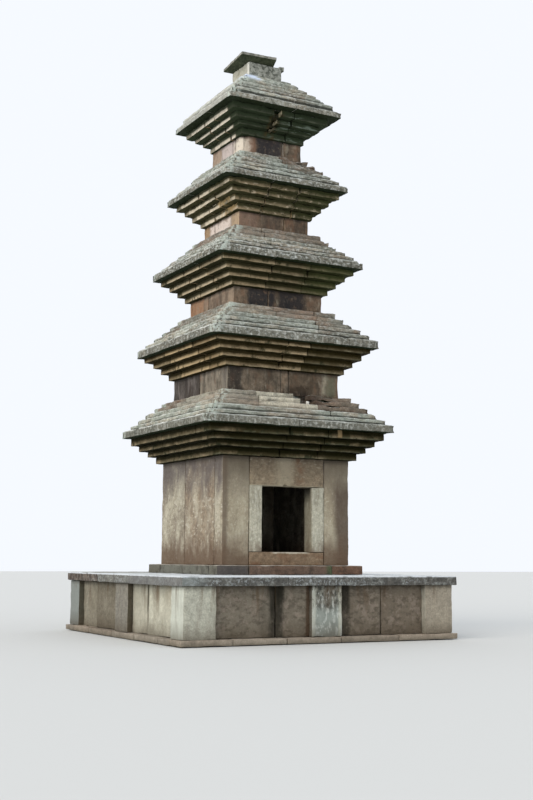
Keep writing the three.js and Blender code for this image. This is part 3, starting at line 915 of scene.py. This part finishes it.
def stained(stone, side, start, end, bottom, top):
    """A mask of one stain on one side, with soft and uneven borders."""
    across, outward = ("X", "Y") if side == "front" else ("Y", "X")
    width = stone.between(across, start - 0.04, end + 0.04, 0.08, 0.07, 0.1, (1, 1, 0.7))
    height = stone.between("Z", bottom - 0.03, top + 0.03, 0.06, 0.07, 0.1, (1, 1, 0.7))
    return stone.times(stone.facing(outward), width, height, stone.patches(0.08, 0.28, 0.46, offset=start))


def storey_granite(node):
    """Granite of one upper storey: brown on the front with black growth, bleached on the west."""
    stone = Granite(f"{node}_granite", "#554e44", "#a2937e", "#86674f", mottle=0.45)
    front = stone.facing("Y")
    west = stone.facing("X")
    stone.coat("#544d42", 0.4, front)
    stone.coat(WEST_COLOURS[node], 0.65, west)
    soot = stone.patches(0.12, 0.46, 0.62, stretch=(1, 1, 0.35))
    stone.coat("#403a32", 0.65, soot)
    rusty = stone.patches(0.14, 0.52, 0.66, stretch=(1, 1, 0.5), detail=4, offset=8.0)
    stone.coat("#85614a", 0.4, rusty)
    pale = stone.patches(0.08, 0.54, 0.68, stretch=(1, 1, 0.4), offset=13.0)
    stone.coat("#b3a995", 0.4, pale)
    for side, stains in STAINS[node].items():
        for *stain, colour, strength in stains:
            stone.coat(colour, strength, stained(stone, side, *stain))
    if node == "storey_2":
        far_half = stone.times(stone.along("Y", -0.01, 0.01), west)
        stone.coat("#363130", 0.85, far_half)
        runs = stone.patches(0.09, 0.5, 0.62, stretch=(1, 1, 0.25), detail=4, offset=2.0)
        stone.coat("#857d78", 0.5, far_half, runs)
    eaves_shade = stone.along("level", 0.82, 0.98, 0.08, 0.12)
    stone.coat("#2d2924", 0.6, eaves_shade)
    return stone.finish(pit_depth=0.016)


for node, kind in STOREYS.items():
    low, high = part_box(node)
    stones = []
    for column, (x_start, x_end) in enumerate(split(low.x, high.x, kind["x_cuts"])):
        for y_start, y_end in split(low.y, high.y, kind["y_cuts"]):
            tone, rust = kind["tones"][column]
            stones.append(((x_start, y_start, low.z), (x_end, y_end, high.z), tone, rust))
    piece = squared_stones(node + "_blocks", stones, WALL_FACE, settle=BLOCK_SETTLE, seed=len(stones))
    if node == "storey_5":
        corner = (low.x, low.y, high.z - BROKEN_CORNER_BELOW_HEAD)
        break_away(piece, corner, BROKEN_CORNER_REACH, BROKEN_CORNER_DEPTH, "broken_corner")
    wear(piece, *BLOCK_WEAR)
    dress(piece, storey_granite(node), "brown_granite", node)


# Roof corbels. Under each eave, four courses step outwards like brickwork, each carved on long
# stones that turn the corners. They never see rain: the undersides are black-green with growth and painted
# shade.
ROOF_FACE = 0.046
SEAT = 0.09
CORE_BACK = 0.012
CLOSE = 0.001
HIDDEN_BEYOND = 0.02
CORBELS = {
    1: {"cuts": {"front": (-0.2, 0.52), "west": (-1.07, 0.48)}, "wear": (0.02, 0.009, 0.03),
        "marks": {"front": ((-2, 2, 0, 0.2, 0.1, 0.12),), "west": ((-2, 2, 0, 0.4, 0.1, 0.4),)}},
    2: {"cuts": {"front": (-0.14, 0.28), "west": (-0.55, 0.57)}, "wear": (0.018, 0.009, 0.03),
        "marks": {"front": ((-2, -0.14, 0, 0.62, 0.2, 0.75), (-0.14, 0.28, 0, 0.75, 0.15, 0.9),
                            (0.28, 2, 0, 0.3, 0.05, 0.2)),
                  "west": ((-2, -0.55, 0, 0.55, 0.5, 0.7), (-0.55, 0.57, 0, 0.75, 0.35, 0.95))}},
    3: {"cuts": {"front": (-0.29, 0.4), "west": (-0.42, 0.28)}, "wear": (0.018, 0.009, 0.03),
        "marks": {"front": ((-2, -0.29, 0, 0.65, 0.15, 0.8), (-0.29, 0.4, 0, 0.5, 0.1, 0.5),
                            (0.4, 2, 0, 0.4, 0.0, 0.25)),
                  "west": ((-2, -0.42, 0, 0.6, 0.3, 0.6), (-0.42, 2, 0, 0.72, 0.35, 0.9))}},
    4: {"cuts": {"front": (-0.27, 0.3), "west": (-0.3, 0.14)}, "wear": (0.035, 0.03, 0.05),
        "decay": ((0, -0.55, 0.2, 0.035), (1, -0.6, 0.22, 0.035), (2, -0.2, 0.2, 0.03)),
        "marks": {"front": ((-2, -0.27, 0, 0.6, 0.2, 0.7), (-0.27, 0.3, 0, 0.45, 0.1, 0.5),
                            (0.3, 2, 0, 0.4, 0.0, 0.4)),
                  "west": ((-0.3, 2, 0, 0.75, 0.3, 0.95),)}},
    5: {"cuts": {"front": (0.25,), "front 1": (-0.12, -0.05, 0.25), "front 2": (-0.14, -0.05, 0.25),
                 "front 3": (-0.13, -0.02, 0.25), "west": (-0.2, 0.2)}, "wear": (0.03, 0.016, 0.045),
        "missing": ((-0.08, 1), (-0.08, 2), (-0.08, 3)),
        "marks": {"front": ((-2, 2, 0, 0.25, 0.0, 0.0),), "west": ((-2, 2, 0, 0.7, 0.25, 0.85),)}},
}


def pull_face(piece, centre, by):
    """Extrudes the face that lies at a place."""
    select_none(False, False, True)
    shape = bmesh.from_edit_mesh(piece.data)
    nearest = min(shape.faces, key=lambda face: (face.calc_center_median() - centre).length_squared)
    nearest.select_set(True)
    bpy.ops.mesh.extrude_region_move(TRANSFORM_OT_translate={"value": by})


def courses_of(node):
    """The courses of a stepped CAD node, from the lowest up: half width, bottom and top."""
    widths = {}
    for vertex in frame["nodes"][node].data.vertices:
        widths.setdefault(round(vertex.co.z, 4), set()).add(round(abs(vertex.co.x), 4))
    levels = sorted(widths)
    return [(max(widths[low] & widths[high]), low, high) for low, high in zip(levels, levels[1:])]


def drawn_look(draw):
    """A tone, rust and bareness for a stone that no mark covers."""
    return draw.uniform(0.35, 0.7), draw.uniform(0, 0.25), 0.4


def marked(marks, side, place, course, values):
    """The tone, rust and bareness of a stone: the last mark that covers it, or else those given."""
    for start, end, first_course, *mark_values in marks.get(side, ()):
        if start <= place <= end and course >= first_course:
            values = mark_values
    return dict(zip(("tone", "rust", "bare"), values), course=course)


def ring_courses(name, courses, depths, cuts, marks, missing=(), gap=JOINT_GAP, settle=0.006, seed=1):
    """Rings of stones, one for each course, with a joint at every cut and a stone round each corner.

    The back and the east side repeat the cuts of the front and the west, turned round. A stone
    that covers a missing place (x, course) is left out of the front."""
    draw = random.Random(seed)
    piece = begin(name)
    laid = []
    joint = gap / 2
    back = [-cut for cut in reversed(cuts["front"])]
    east = [-cut for cut in reversed(cuts["west"])]
    for course, ((half, bottom, top), depth) in enumerate(zip(courses, depths)):
        front = cuts.get(f"front {course}", cuts["front"])
        west = cuts.get(f"west {course}", cuts["west"])
        inner = half - depth
        for sx, sy in ((-1, -1), (1, -1), (-1, 1), (1, 1)):
            shift = Vector((draw.uniform(-settle, settle), draw.uniform(-settle, settle), 0))
            across = front if sy < 0 else back
            deep = west if sx < 0 else east
            end_x = across[0] - joint if sx < 0 else across[-1] + joint
            end_y = deep[0] - joint if sy < 0 else deep[-1] + joint
            first_x, last_x = sorted((sx * half, sx * inner))
            first_y, last_y = sorted((sy * half, sy * inner))
            low = Vector((first_x, first_y, bottom)) + shift
            high = Vector((last_x, last_y, top)) + shift
            middle = (low + high) / 2
            add_stone(low, high)
            face_x, face_y = sx * inner + shift.x, sy * inner + shift.y
            pull_face(piece, Vector((face_x, middle.y, middle.z)), (end_x - face_x, 0, 0))
            pull_face(piece, Vector((middle.x, face_y, middle.z)), (0, end_y - face_y, 0))
            drawn = drawn_look(draw)
            arm_x = marked(marks, "front" if sy < 0 else "back", (middle.x + end_x) / 2, course, drawn)
            arm_y = marked(marks, "west" if sx < 0 else "east", (middle.y + end_y) / 2, course, drawn)
            laid.append((Vector((low.x, min(low.y, end_y), bottom)),
                         Vector((high.x, max(high.y, end_y), top)), arm_y))
            laid.append((Vector((min(low.x, end_x), low.y, bottom)),
                         Vector((max(high.x, end_x), high.y, top)), arm_x))
        for side, line, axis, sign in (("front", front, 0, -1), ("back", back, 0, 1),
                                       ("west", west, 1, -1), ("east", east, 1, 1)):
            for start, end in zip(line, line[1:]):
                values = marked(marks, side, (start + end) / 2, course, drawn_look(draw))
                shift = draw.uniform(-settle, settle)
                if side == "front" and any(start < x < end and course == at for x, at in missing):
                    continue
                low, high = Vector((0, 0, bottom)), Vector((0, 0, top))
                low[axis], high[axis] = start + joint, end - joint
                low[1 - axis], high[1 - axis] = sorted((sign * half + shift, sign * inner + shift))
                add_stone(low, high)
                laid.append((low, high, values))

    def hidden(centre):
        for (half, bottom, top), depth in zip(courses, depths):
            if bottom + CLOSE < centre.z < top - CLOSE:
                return max(abs(centre.x), abs(centre.y)) < half - depth + HIDDEN_BEYOND
        return False

    shape_stones(piece, laid, ROOF_FACE, hidden)
    return piece


def add_core(piece, courses, depths):
    """The packing behind the rings, one plain block for each course."""
    edit(piece)
    for (half, bottom, top), depth in zip(courses, depths):
        reach = half - depth - CORE_BACK
        add_stone(Vector((-reach, -reach, bottom)), Vector((reach, reach, top)))
    bpy.ops.object.mode_set(mode="OBJECT")


WEST_BANDS = {1: "#978a70", 2: "#cbb38b", 3: "#dfceaf", 4: "#f4e6cd", 5: "#fff4e0"}
# Growth on the risers, and the blacker growth with painted shade above it, by storey
GROWTH = {1: ("#2f2d17", "#191803"), 2: ("#453c26", "#2b240a"), 3: ("#4a4530", "#2d2c16"),
          4: ("#56533f", "#424129"), 5: ("#383f31", "#36402d")}
# Moss on the east end of the front, by storey
EAST_GREEN = {3: "#4d5631", 4: "#2c3a18"}
SPLIT_PLACE = (-0.03, -0.82, 8.82)
SPLIT_REACH = (0.1, 0.35, 0.26)
SPLIT_DEPTH = 0.035
DECAY_IN = 0.12
BREAK_TALL = 0.1


def corbel_granite(storey):
    """Granite that never sees rain: tan along the lower edge of each course, paler there with wear and
    painted light, and black-green above it and underneath, with growth and painted shade."""
    stone = Granite(f"sheltered_granite_{storey}", "#4a4332", "#c2ae8c", "#ab855c")
    film, growth_and_shade = GROWTH[storey]
    grain = stone.patches(0.06, 0.5, 0.64, stretch=(0.4, 0.4, 1))
    stone.coat("#4a4230", 0.55, grain)
    # Partly wear, partly painted light: the lower edge of each riser, least under the course above, is made
    # pale.
    edge = stone.along("level", 0.3, 0.05, 0.1, 0.1)
    stone.coat("#c3b594", 0.5, edge, stone.patches(0.2, 0.42, 0.6, offset=storey * 2.0))
    west = stone.times(stone.facing("X"), stone.stored("tone"), stone.stored("bare"))
    stone.coat(WEST_BANDS[storey], 1.1, west)
    covered = stone.rest_of(stone.stored("bare"))
    growth_from = 0.1 if storey == 5 else 0.3
    growth = stone.patches(0.3, growth_from, growth_from + 0.2, detail=6, offset=storey * 3.0)
    stone.coat(film, 0.96, covered, growth)
    # Partly wear, partly painted light: a faint pale lower edge on risers that growth covers.
    faint_edge = stone.along("level", 0.3, 0.1, 0.1, 0.1)
    stone.coat("#6f7360", 0.45, faint_edge, covered, stone.patches(0.2, 0.4, 0.6, offset=1.0))
    spots = stone.patches(0.14, 0.56, 0.64, detail=6, offset=storey * 5.0)
    stone.coat("#2b3020", 0.8, spots)
    if storey == 4:
        chips = stone.patches(0.07, 0.56, 0.62, stretch=(0.6, 0.6, 1), offset=5.0)
        stone.coat("#cdbca0", 0.8, chips)
    # Partly growth, partly painted shade: the upper part of each riser, under the overhang of the course
    # above, is made black-green.
    shade = stone.along("level", 0.24, 0.6, 0.12, 0.2)
    stone.coat(growth_and_shade, 0.94, shade)
    # Partly growth, partly painted shade: faces turned down are made black-green.
    stone.coat(growth_and_shade, 0.97, stone.facing("Z", -0.25, -0.75))
    if storey in EAST_GREEN:
        mossy = stone.along("X", 0.2, 0.7, 0.15)
        stone.coat(EAST_GREEN[storey], 0.4, mossy, stone.facing("Y", 0.4, -0.2))
    if storey > 3:
        # Painted light: the lower part of each west riser is lit again in the band colour, over the painted
        # shade.
        lit = stone.along("level", 0.62, 0.42, 0.12, 0.15)
        stone.coat(WEST_BANDS[storey], 0.8, west, lit)
    if storey == 4:
        decayed = stone.times(stone.along("Y", -0.1, -0.25, 0.1), stone.along("Z", 7.4, 7.36, 0.03))
        stone.coat("#bb9e70", 0.7, decayed, stone.facing("X", -0.2, -0.7), stone.patches(0.09, 0.4, 0.55))
    if storey == 1:
        patch = stone.between("X", 0.69, 0.79, 0.02)
        stone.coat("#a58d67", 0.7, patch, stone.along("Z", 3.25, 3.27))
    if storey == 5:
        streaks = stone.patches(0.1, 0.54, 0.62, stretch=(0.3, 0.3, 1), detail=4, offset=4.0)
        stone.coat("#7d8a7c", 0.6, streaks, stone.facing("Y", -0.3, -0.7), stone.along("X", -0.4, 0.2))
        by_split = stone.between("X", -0.2, 0.05, 0.05, 0.04)
        stone.coat("#4f3f24", 0.6, by_split, stone.patches(0.08, 0.4, 0.55))
        split_side = stone.times(stone.between("X", -0.1, 0.01, 0.01), stone.facing("X", -0.2, -0.6))
        stone.coat("#f2e3bd", 0.9, split_side, stone.along("Z", 8.62, 8.76))
    return stone.finish(pit_depth=0.02, shine=0.08)


for storey, kind in CORBELS.items():
    node = f"roof_{storey}_corbels"
    courses = courses_of(node)
    run = courses[1][0] - courses[0][0]
    depths = [run + SEAT] * len(courses)
    piece = ring_courses(node + "_courses", courses, depths, kind["cuts"], kind["marks"],
                         kind.get("missing", ()), seed=storey)
    if storey == 5:
        break_away(piece, SPLIT_PLACE, SPLIT_REACH, SPLIT_DEPTH, "split")
    for count, (course, y, reach, depth) in enumerate(kind.get("decay", ())):
        half, bottom, top = courses[course]
        break_away(piece, (-half, y, bottom), (DECAY_IN, reach, BREAK_TALL), depth, f"decay_{count}")
    wear(piece, *kind["wear"], warp_size=0.3)
    add_core(piece, courses, depths)
    dress(piece, corbel_granite(storey), "dark_granite", node)


# Roof tops. A thick eave slab course and five or six steps that draw in to the next storey, open
# to the rain: rough with loss, grey-green with lichen, and brown where soil has settled.
TOPS = {
    1: {"cuts": {"front": (0.62,), "front 0": (-0.1,), "front 3": (-0.67, 0.43),
                 "front 4": (-0.62, 0.16, 0.45), "front 5": (-0.62, 0.08, 0.41),
                 "west": (0.6,), "west 2": (-0.3,), "west 4": (0.3,), "west 5": (0.2,)},
        "missing": ((0.3, 5), (0.36, 4)),
        "marks": {"front": ((-2, -0.6, 3, 0.55, 0.3, 0.9), (0.28, 2, 3, 0.2, 0.5, 1.0),
                            (-0.67, 0.43, 3, 1.0, 0.05, 1.0)),
                  "west": ((-2, 2, 1, 0.7, 0.0, 0.35), (-2, 2, 4, 0.75, 0.2, 0.8),
                           (0.2, 2, 4, 0.3, 0.65, 0.8))}},
    2: {"cuts": {"front": (0.5,), "front 0": (0.43, 0.97), "front 1": (0.43, 0.85), "front 4": (-0.2, 0.6),
                 "front 5": (-0.2, 0.6), "west": (-0.5,), "west 3": (0.45,), "west 4": (-0.1,)},
        "marks": {"front": ((-2, -0.2, 4, 0.6, 0.35, 0.7), (-0.2, 0.65, 4, 0.6, 0.7, 0.9),
                            (0.43, 2, 0, 0.3, 0.3, 0.6), (0.85, 2, 1, 0.1, 0.4, 0.6),
                            (0.5, 2, 2, 0.45, 0.4, 0.7)),
                  "west": ((-2, 2, 4, 0.45, 0.35, 0.7), (0.2, 2, 3, 0.2, 0.4, 0.7))}},
    3: {"cuts": {"front": (-0.33,), "front 1": (0.3,), "front 3": (0.1,), "west": (-0.3,), "west 2": (0.42,)},
        "marks": {"front": ((-2, 2, 4, 0.45, 0.65, 0.9),), "west": ((-2, 2, 4, 0.15, 0.45, 0.8),)}},
    4: {"cuts": {"front": (-0.25,), "front 2": (0.36,), "front 3": (0.15,), "front 4": (0.1,),
                 "front 5": (0.1,), "west": (0.3,), "west 3": (-0.25,)},
        "marks": {"front": ((0.1, 2, 3, 0.3, 0.5, 0.7), (0.1, 2, 4, 0.25, 0.65, 0.9))}},
    5: {"cuts": {"front": (0.2,), "front 2": (-0.15,), "west": (-0.2,), "west 3": (0.15,)},
        "marks": {"front": ((-2, 2, 5, 0.8, 0.0, 0.3),), "west": ((-2, 2, 4, 0.85, 0.0, 0.4),)}},
}
# How much of each roof the crust covers, from 0 to 1
CRUST = {1: 0.3, 2: 0.55, 3: 0.85, 4: 0.75, 5: 0.6}
# How much dirt covers each eave, and how far up each riser the painted shade at its foot reaches, from 0 to 1
EAVE_DIRT = {1: 0.72, 2: 0.6, 3: 0.6, 4: 0.55, 5: 0.3}
STEP_FOOT_SHADE = {1: 0.3, 2: 0.34, 3: 0.4, 4: 0.47, 5: 0.55}
TOP_GAP = 0.005
TOP_WEAR = (0.016, 0.01, 0.026)
EAVE_EXTRA = 0.04
HIP_REACH = 0.11
HIP_LOSS = 0.08
# How far from a hip its pale border ends, and where it is full
HIP_MARGIN = (0.2, 0.06)
LIMEWASH_FROM = 9.6
# Breaks in the steps, by storey: course, corner or place across the front, reach, depth
LOSSES = {
    1: ((2, 2.0, 0.12, 0.03), (3, 0.75, 0.18, 0.03), (4, 0.65, 0.2, 0.035), (5, 0.85, 0.2, 0.03)),
    2: ((3, 2.0, 0.1, 0.04), (0, 0.9, 0.1, 0.03)),
    3: ((4, 2.0, 0.12, 0.06), (3, 2.0, 0.1, 0.05), (0, 2.0, 0.14, 0.05)),
    4: ((5, 0.45, 0.2, 0.04), (4, 0.55, 0.22, 0.05), (3, 0.75, 0.18, 0.04), (2, 0.5, 0.12, 0.03)),
    5: ((1, -2.0, 0.1, 0.05), (2, 2.0, 0.1, 0.03), (3, 0.3, 0.12, 0.03)),
}


def near_hip(stone):
    """A mask of the hips, the four slanting lines where the sides meet."""
    place = add_node(stone.tree, "ShaderNodeTexCoord").outputs["Object"]
    reach = add_node(stone.tree, "ShaderNodeVectorMath", {0: place}, operation="ABSOLUTE").outputs[0]
    parts = add_node(stone.tree, "ShaderNodeSeparateXYZ", {0: reach})
    apart = add_node(stone.tree, "ShaderNodeMath", {0: parts.outputs["X"], 1: parts.outputs["Y"]},
                     operation="SUBTRACT")
    away = add_node(stone.tree, "ShaderNodeMath", {0: apart.outputs[0]}, operation="ABSOLUTE").outputs[0]
    limits = {"Value": away, "From Min": HIP_MARGIN[0], "From Max": HIP_MARGIN[1]}
    return add_node(stone.tree, "ShaderNodeMapRange", limits).outputs[0]


def roof_granite(storey):
    """Rain-worn granite: a grey-green film of lichen and a salt-and-pepper crust, where the stone
    isn't bare, with painted shade at the foot of the lower steps, and upper edges washed pale and painted
    lit."""
    stone = Granite(f"lichened_granite_{storey}", "#66645c", "#cbc5b2", "#80604b", mottle=0.3)
    free = stone.rest_of(stone.times(stone.stored("bare"), 0.85))
    warm = stone.patches(0.3, 0.5, 0.64, stretch=(0.5, 0.5, 1), offset=storey * 5.0)
    stone.coat("#a09182", 0.5, warm)
    film = stone.patches(0.3, 0.42, 0.56, stretch=(0.6, 0.6, 1), detail=6, offset=storey * 2.0)
    eave = stone.along("course", 0.3, 0.2)
    stone.coat("#9baca4", 0.75, film, free, stone.rest_of(stone.times(eave, 0.6)))
    lines = stone.patches(0.07, 0.5, 0.6, stretch=(0.2, 0.2, 1), detail=6, offset=9.0)
    stone.coat("#57554b", 0.5, lines)
    stone.coat("#62635a", EAVE_DIRT[storey], eave)
    runs = stone.patches(0.07, 0.46, 0.62, stretch=(1, 1, 0.35), detail=4, offset=6.0)
    stone.coat("#4c4d45", 0.5, runs, eave)
    washed = stone.patches(0.05, 0.54, 0.66, stretch=(1, 1, 0.4), offset=1.0)
    stone.coat("#c6c8c0", 0.6, washed, eave)
    crust = stone.patches(0.036, 0.52, 0.6, stretch=(0.55, 0.55, 1), detail=6)
    stone.coat("#e4e9e4", 0.9 * CRUST[storey], crust, free)
    black = stone.patches(0.036, 0.51, 0.59, stretch=(0.55, 0.55, 1), detail=6, offset=3.0)
    stone.coat("#34372e", 0.9 * CRUST[storey], black, free)
    low_course = stone.rest_of(stone.times(stone.along("course", 1.5, 3.5), 0.75))
    # Painted shade: the foot of each lower step, in the crevice under the step above, is made near-black.
    crevice_shade = stone.along("level", STEP_FOOT_SHADE[storey] + 0.12, STEP_FOOT_SHADE[storey], 0.1, 0.2)
    stone.coat("#23241e", 0.85, crevice_shade, stone.rest_of(eave), low_course)
    in_places = stone.patches(0.2, 0.35, 0.6, offset=4.0)
    # Partly washed, partly painted highlight: the upper edge of each step is made pale, and paler still on
    # the west.
    edge = stone.times(stone.along("level", 0.78, 0.9, 0.1, 0.12), in_places, low_course, free)
    stone.coat("#e0e5df", 0.85, edge)
    west = stone.facing("X")
    stone.coat("#f6f8f2", 0.6, edge, west)
    if storey == 1:
        soil = stone.times(stone.along("X", 0.26, 0.32, 0.03), stone.along("X", 0.66, 0.46, 0.08))
        stone.coat("#3f3029", 0.7, soil, stone.along("Z", 3.78, 3.84, 0.03), stone.facing("Y", 0.4, -0.2))
    worn = stone.patches(0.07, 0.44, 0.54, offset=8.0)
    hips = stone.times(near_hip(stone), stone.along("X", 0.1, -0.1), worn)
    if storey == 5:
        limewash = stone.times(stone.along("Z", 9.56, 9.61, 0.03, 0.1), stone.along("X", -0.2, -0.26, 0.05))
        stone.coat("#dce8fb", 0.95, limewash, stone.along("Y", 0.1, -0.1, 0.06))
        stone.coat("#dedfd6", 0.35, west)
        hips = stone.times(hips, stone.along("Z", LIMEWASH_FROM + 0.03, LIMEWASH_FROM, 0.01))
    if storey > 2:
        stone.coat("#43443c", 0.18, stone.along("X", 0.2, 0.8, 0.2), stone.facing("Y"))
    stone.coat("#cfdad0", 0.7, hips)
    # Partly lichen and dust, partly painted light: faces turned up to the sky are made pale.
    stone.coat("#cbcfc9", 0.5, stone.facing("Z", 0.35, 0.8))
    # Partly growth, partly painted shade: faces turned down, under the eaves, are made dark green.
    stone.coat("#1e2913", 0.97, stone.facing("Z", -0.25, -0.75))
    return stone.finish(roughness=0.95, pit_depth=0.028, shine=0.12)


def round_hips(piece, courses, reach, depth):
    """Wears the upright corners of the steps round, deepest at the corner itself."""
    places = np.abs(places_of(piece.data))
    hips = piece.vertex_groups.new(name="hips")
    for half, bottom, top in courses:
        inside = (places[:, 2] > bottom + CLOSE) & (places[:, 2] < top + CLOSE)
        from_corner = np.hypot(half - places[:, 0], half - places[:, 1])
        for index in np.flatnonzero(inside & (from_corner < reach)):
            hips.add([int(index)], float(1 - from_corner[index] / reach), "REPLACE")
    displace(piece, "hips", 0.12, -depth, 0.15, "hips")


for storey, kind in TOPS.items():
    node = f"roof_{storey}_top"
    courses = courses_of(node)
    run = courses[1][0] - courses[2][0]
    depths = [run + SEAT + EAVE_EXTRA] + [run + SEAT] * (len(courses) - 1)
    piece = ring_courses(node + "_courses", courses, depths, kind["cuts"], kind["marks"],
                         kind.get("missing", ()), gap=TOP_GAP, seed=10 + storey)
    round_hips(piece, courses[:-1], HIP_REACH, HIP_LOSS)
    for count, (course, place, reach, depth) in enumerate(LOSSES[storey]):
        half, bottom, top = courses[course]
        corner = (max(-half, min(half, place)), -half, top)
        break_away(piece, corner, (reach, reach, BREAK_TALL), depth, f"loss_{count}")
    wear(piece, *TOP_WEAR, warp_size=0.4)
    add_core(piece, courses, depths)
    dress(piece, roof_granite(storey), "lichen_granite", node)


# Loose chip. A fist of fresh granite that lies in the hollow of the first roof, on the step below:
# one small block with broken arrises, rounded off and strongly warped.
CHIP_SIZE = Vector((0.05, 0.045, 0.055))
CHIP_PLACE = Vector((0.27, -1.37, 3.83))
CHIP_WEAR = (0.03, 0.012, 0.01)

piece = begin("roof_1_loose_chip")
add_stone(CHIP_PLACE - CHIP_SIZE / 2, CHIP_PLACE + CHIP_SIZE / 2)
break_arrises(piece)
bpy.ops.mesh.select_all(action="SELECT")
bpy.ops.mesh.subdivide(number_cuts=3, smoothness=0.6)
bpy.ops.object.mode_set(mode="OBJECT")
mark_stones(piece, [(CHIP_PLACE - CHIP_SIZE, CHIP_PLACE + CHIP_SIZE, {"tone": 1.0, "rust": 0.0})])
wear(piece, *CHIP_WEAR, warp_size=0.05)
dress(piece, Granite("fresh_granite", "#b4b2aa", "#e4e2da", "#b09a80").finish(), "pale_granite")


# Finial base. A square neck on the last roof, under a wider slab that is cut back underneath. The
# slab lies a little out of line and its east end has broken off. The finial that stood on it is lost.
NECK_HALF = 0.329
FLANGE_HALF = 0.453
FLANGE_EDGE = 0.06
FLANGE_UNDERCUT = 0.07
FLANGE_ROOT_HALF = 0.3
FLANGE_SINK = 0.004
FLANGE_TURN = math.radians(-5)
FLANGE_SHIFT = -0.03
FLANGE_FACE = 0.035
FLANGE_INSET = 0.006
FLANGE_TOP_LOSS = 0.008
FINIAL_WEAR = (0.012, 0.008, 0.026)
BREAK_FRONT_X = 0.225
BREAK_BACK_X = 0.27
STUMP_X = (0.29, 0.385)
STUMP_Y = (-0.32, -0.2)
STUMP_ROOT = 0.05
STUMP_TALL = 0.035


def finial_granite(edge_bottom):
    """Grey granite with black and green growth, painted shade underneath, bleached on the west."""
    stone = Granite("finial_granite", "#676962", "#b0b3a9", "#8a7a66", mottle=0.35)
    west = stone.facing("X")
    stone.coat("#c6c3b2", 0.8, west)
    blotches = stone.patches(0.07, 0.5, 0.6, offset=5.0)
    stone.coat("#8b8873", 0.6, west, blotches)
    growth = stone.patches(0.07, 0.49, 0.58, offset=2.0)
    stone.coat("#3a3f35", 0.7, growth, stone.facing("Y", -0.3, -0.8))
    stone.coat("#efede2", 0.8, stone.along("Y", -0.23, -0.27, 0.02), west)
    slab = stone.along("Z", edge_bottom - 0.03, edge_bottom - 0.02, 0.01)
    stone.coat("#94938a", 0.8, slab)
    grime = stone.patches(0.09, 0.47, 0.55, stretch=(1, 1, 0.4), offset=8.0)
    stone.coat("#5d5f55", 0.75, slab, grime)
    stone.coat("#c3ccd3", 0.6, stone.along("Z", 9.8, 9.74, 0.05, 0.1), stone.along("X", -0.1, -0.2, 0.05))
    # Partly growth, partly painted shade: the underside of the slab is made dark green.
    under = stone.facing("Z", -0.3, -0.7)
    stone.coat("#353c29", 0.95, under)
    moss = stone.patches(0.1, 0.46, 0.6, offset=6.0)
    stone.coat("#5a5f4a", 0.6, under, moss)
    return stone.finish(pit_depth=0.024, shine=0.12)


low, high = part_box("finial_base")
edge_bottom = high.z - FLANGE_EDGE
neck_top = edge_bottom - FLANGE_UNDERCUT
root_bottom = neck_top - FLANGE_SINK
finial_tone = {"tone": 0.6, "rust": 0.05}
neck = (Vector((-NECK_HALF, -NECK_HALF, low.z)), Vector((NECK_HALF, NECK_HALF, neck_top)), finial_tone)
flange_low = Vector((FLANGE_INSET - FLANGE_HALF, FLANGE_INSET - FLANGE_HALF, root_bottom))
flange_high = Vector((BREAK_BACK_X, FLANGE_HALF - FLANGE_INSET, high.z - FLANGE_TOP_LOSS))
flange = (flange_low, flange_high, finial_tone)
stump = (Vector((STUMP_X[0], STUMP_Y[0], neck_top - STUMP_ROOT)),
         Vector((STUMP_X[1], STUMP_Y[1], neck_top + STUMP_TALL)), finial_tone)
piece = begin("finial_base_stones")
for stone in (neck, flange, stump):
    add_stone(*stone[:2])
bpy.ops.mesh.select_all(action="SELECT")
bpy.ops.mesh.bisect(plane_co=(0, 0, edge_bottom), plane_no=(0, 0, 1))
bpy.ops.mesh.select_all(action="DESELECT")
for corner in bmesh.from_edit_mesh(piece.data).verts:
    if abs(corner.co.z - root_bottom) < CLOSE:
        corner.co.y *= FLANGE_ROOT_HALF / FLANGE_HALF
        corner.co.x = max(corner.co.x, -FLANGE_ROOT_HALF)
    if abs(corner.co.x - BREAK_BACK_X) < CLOSE:
        share = 0.5 - corner.co.y / (2 * FLANGE_HALF)
        corner.co.x -= share * (BREAK_BACK_X - BREAK_FRONT_X)
shape_stones(piece, [neck, flange, stump], FLANGE_FACE)
bpy.ops.object.mode_set(mode="EDIT")
select_none(True, False, False)
max(bmesh.from_edit_mesh(piece.data).verts, key=lambda corner: corner.co.z).select_set(True)
bpy.ops.mesh.select_linked()
bpy.ops.transform.rotate(value=-FLANGE_TURN, orient_axis="Z", center_override=(0, 0, 0))
bpy.ops.transform.translate(value=(FLANGE_SHIFT, 0, 0))
bpy.ops.object.mode_set(mode="OBJECT")
wear(piece, *FINIAL_WEAR, warp_size=0.2)
dress(piece, finial_granite(edge_bottom), "dark_granite", "finial_base")
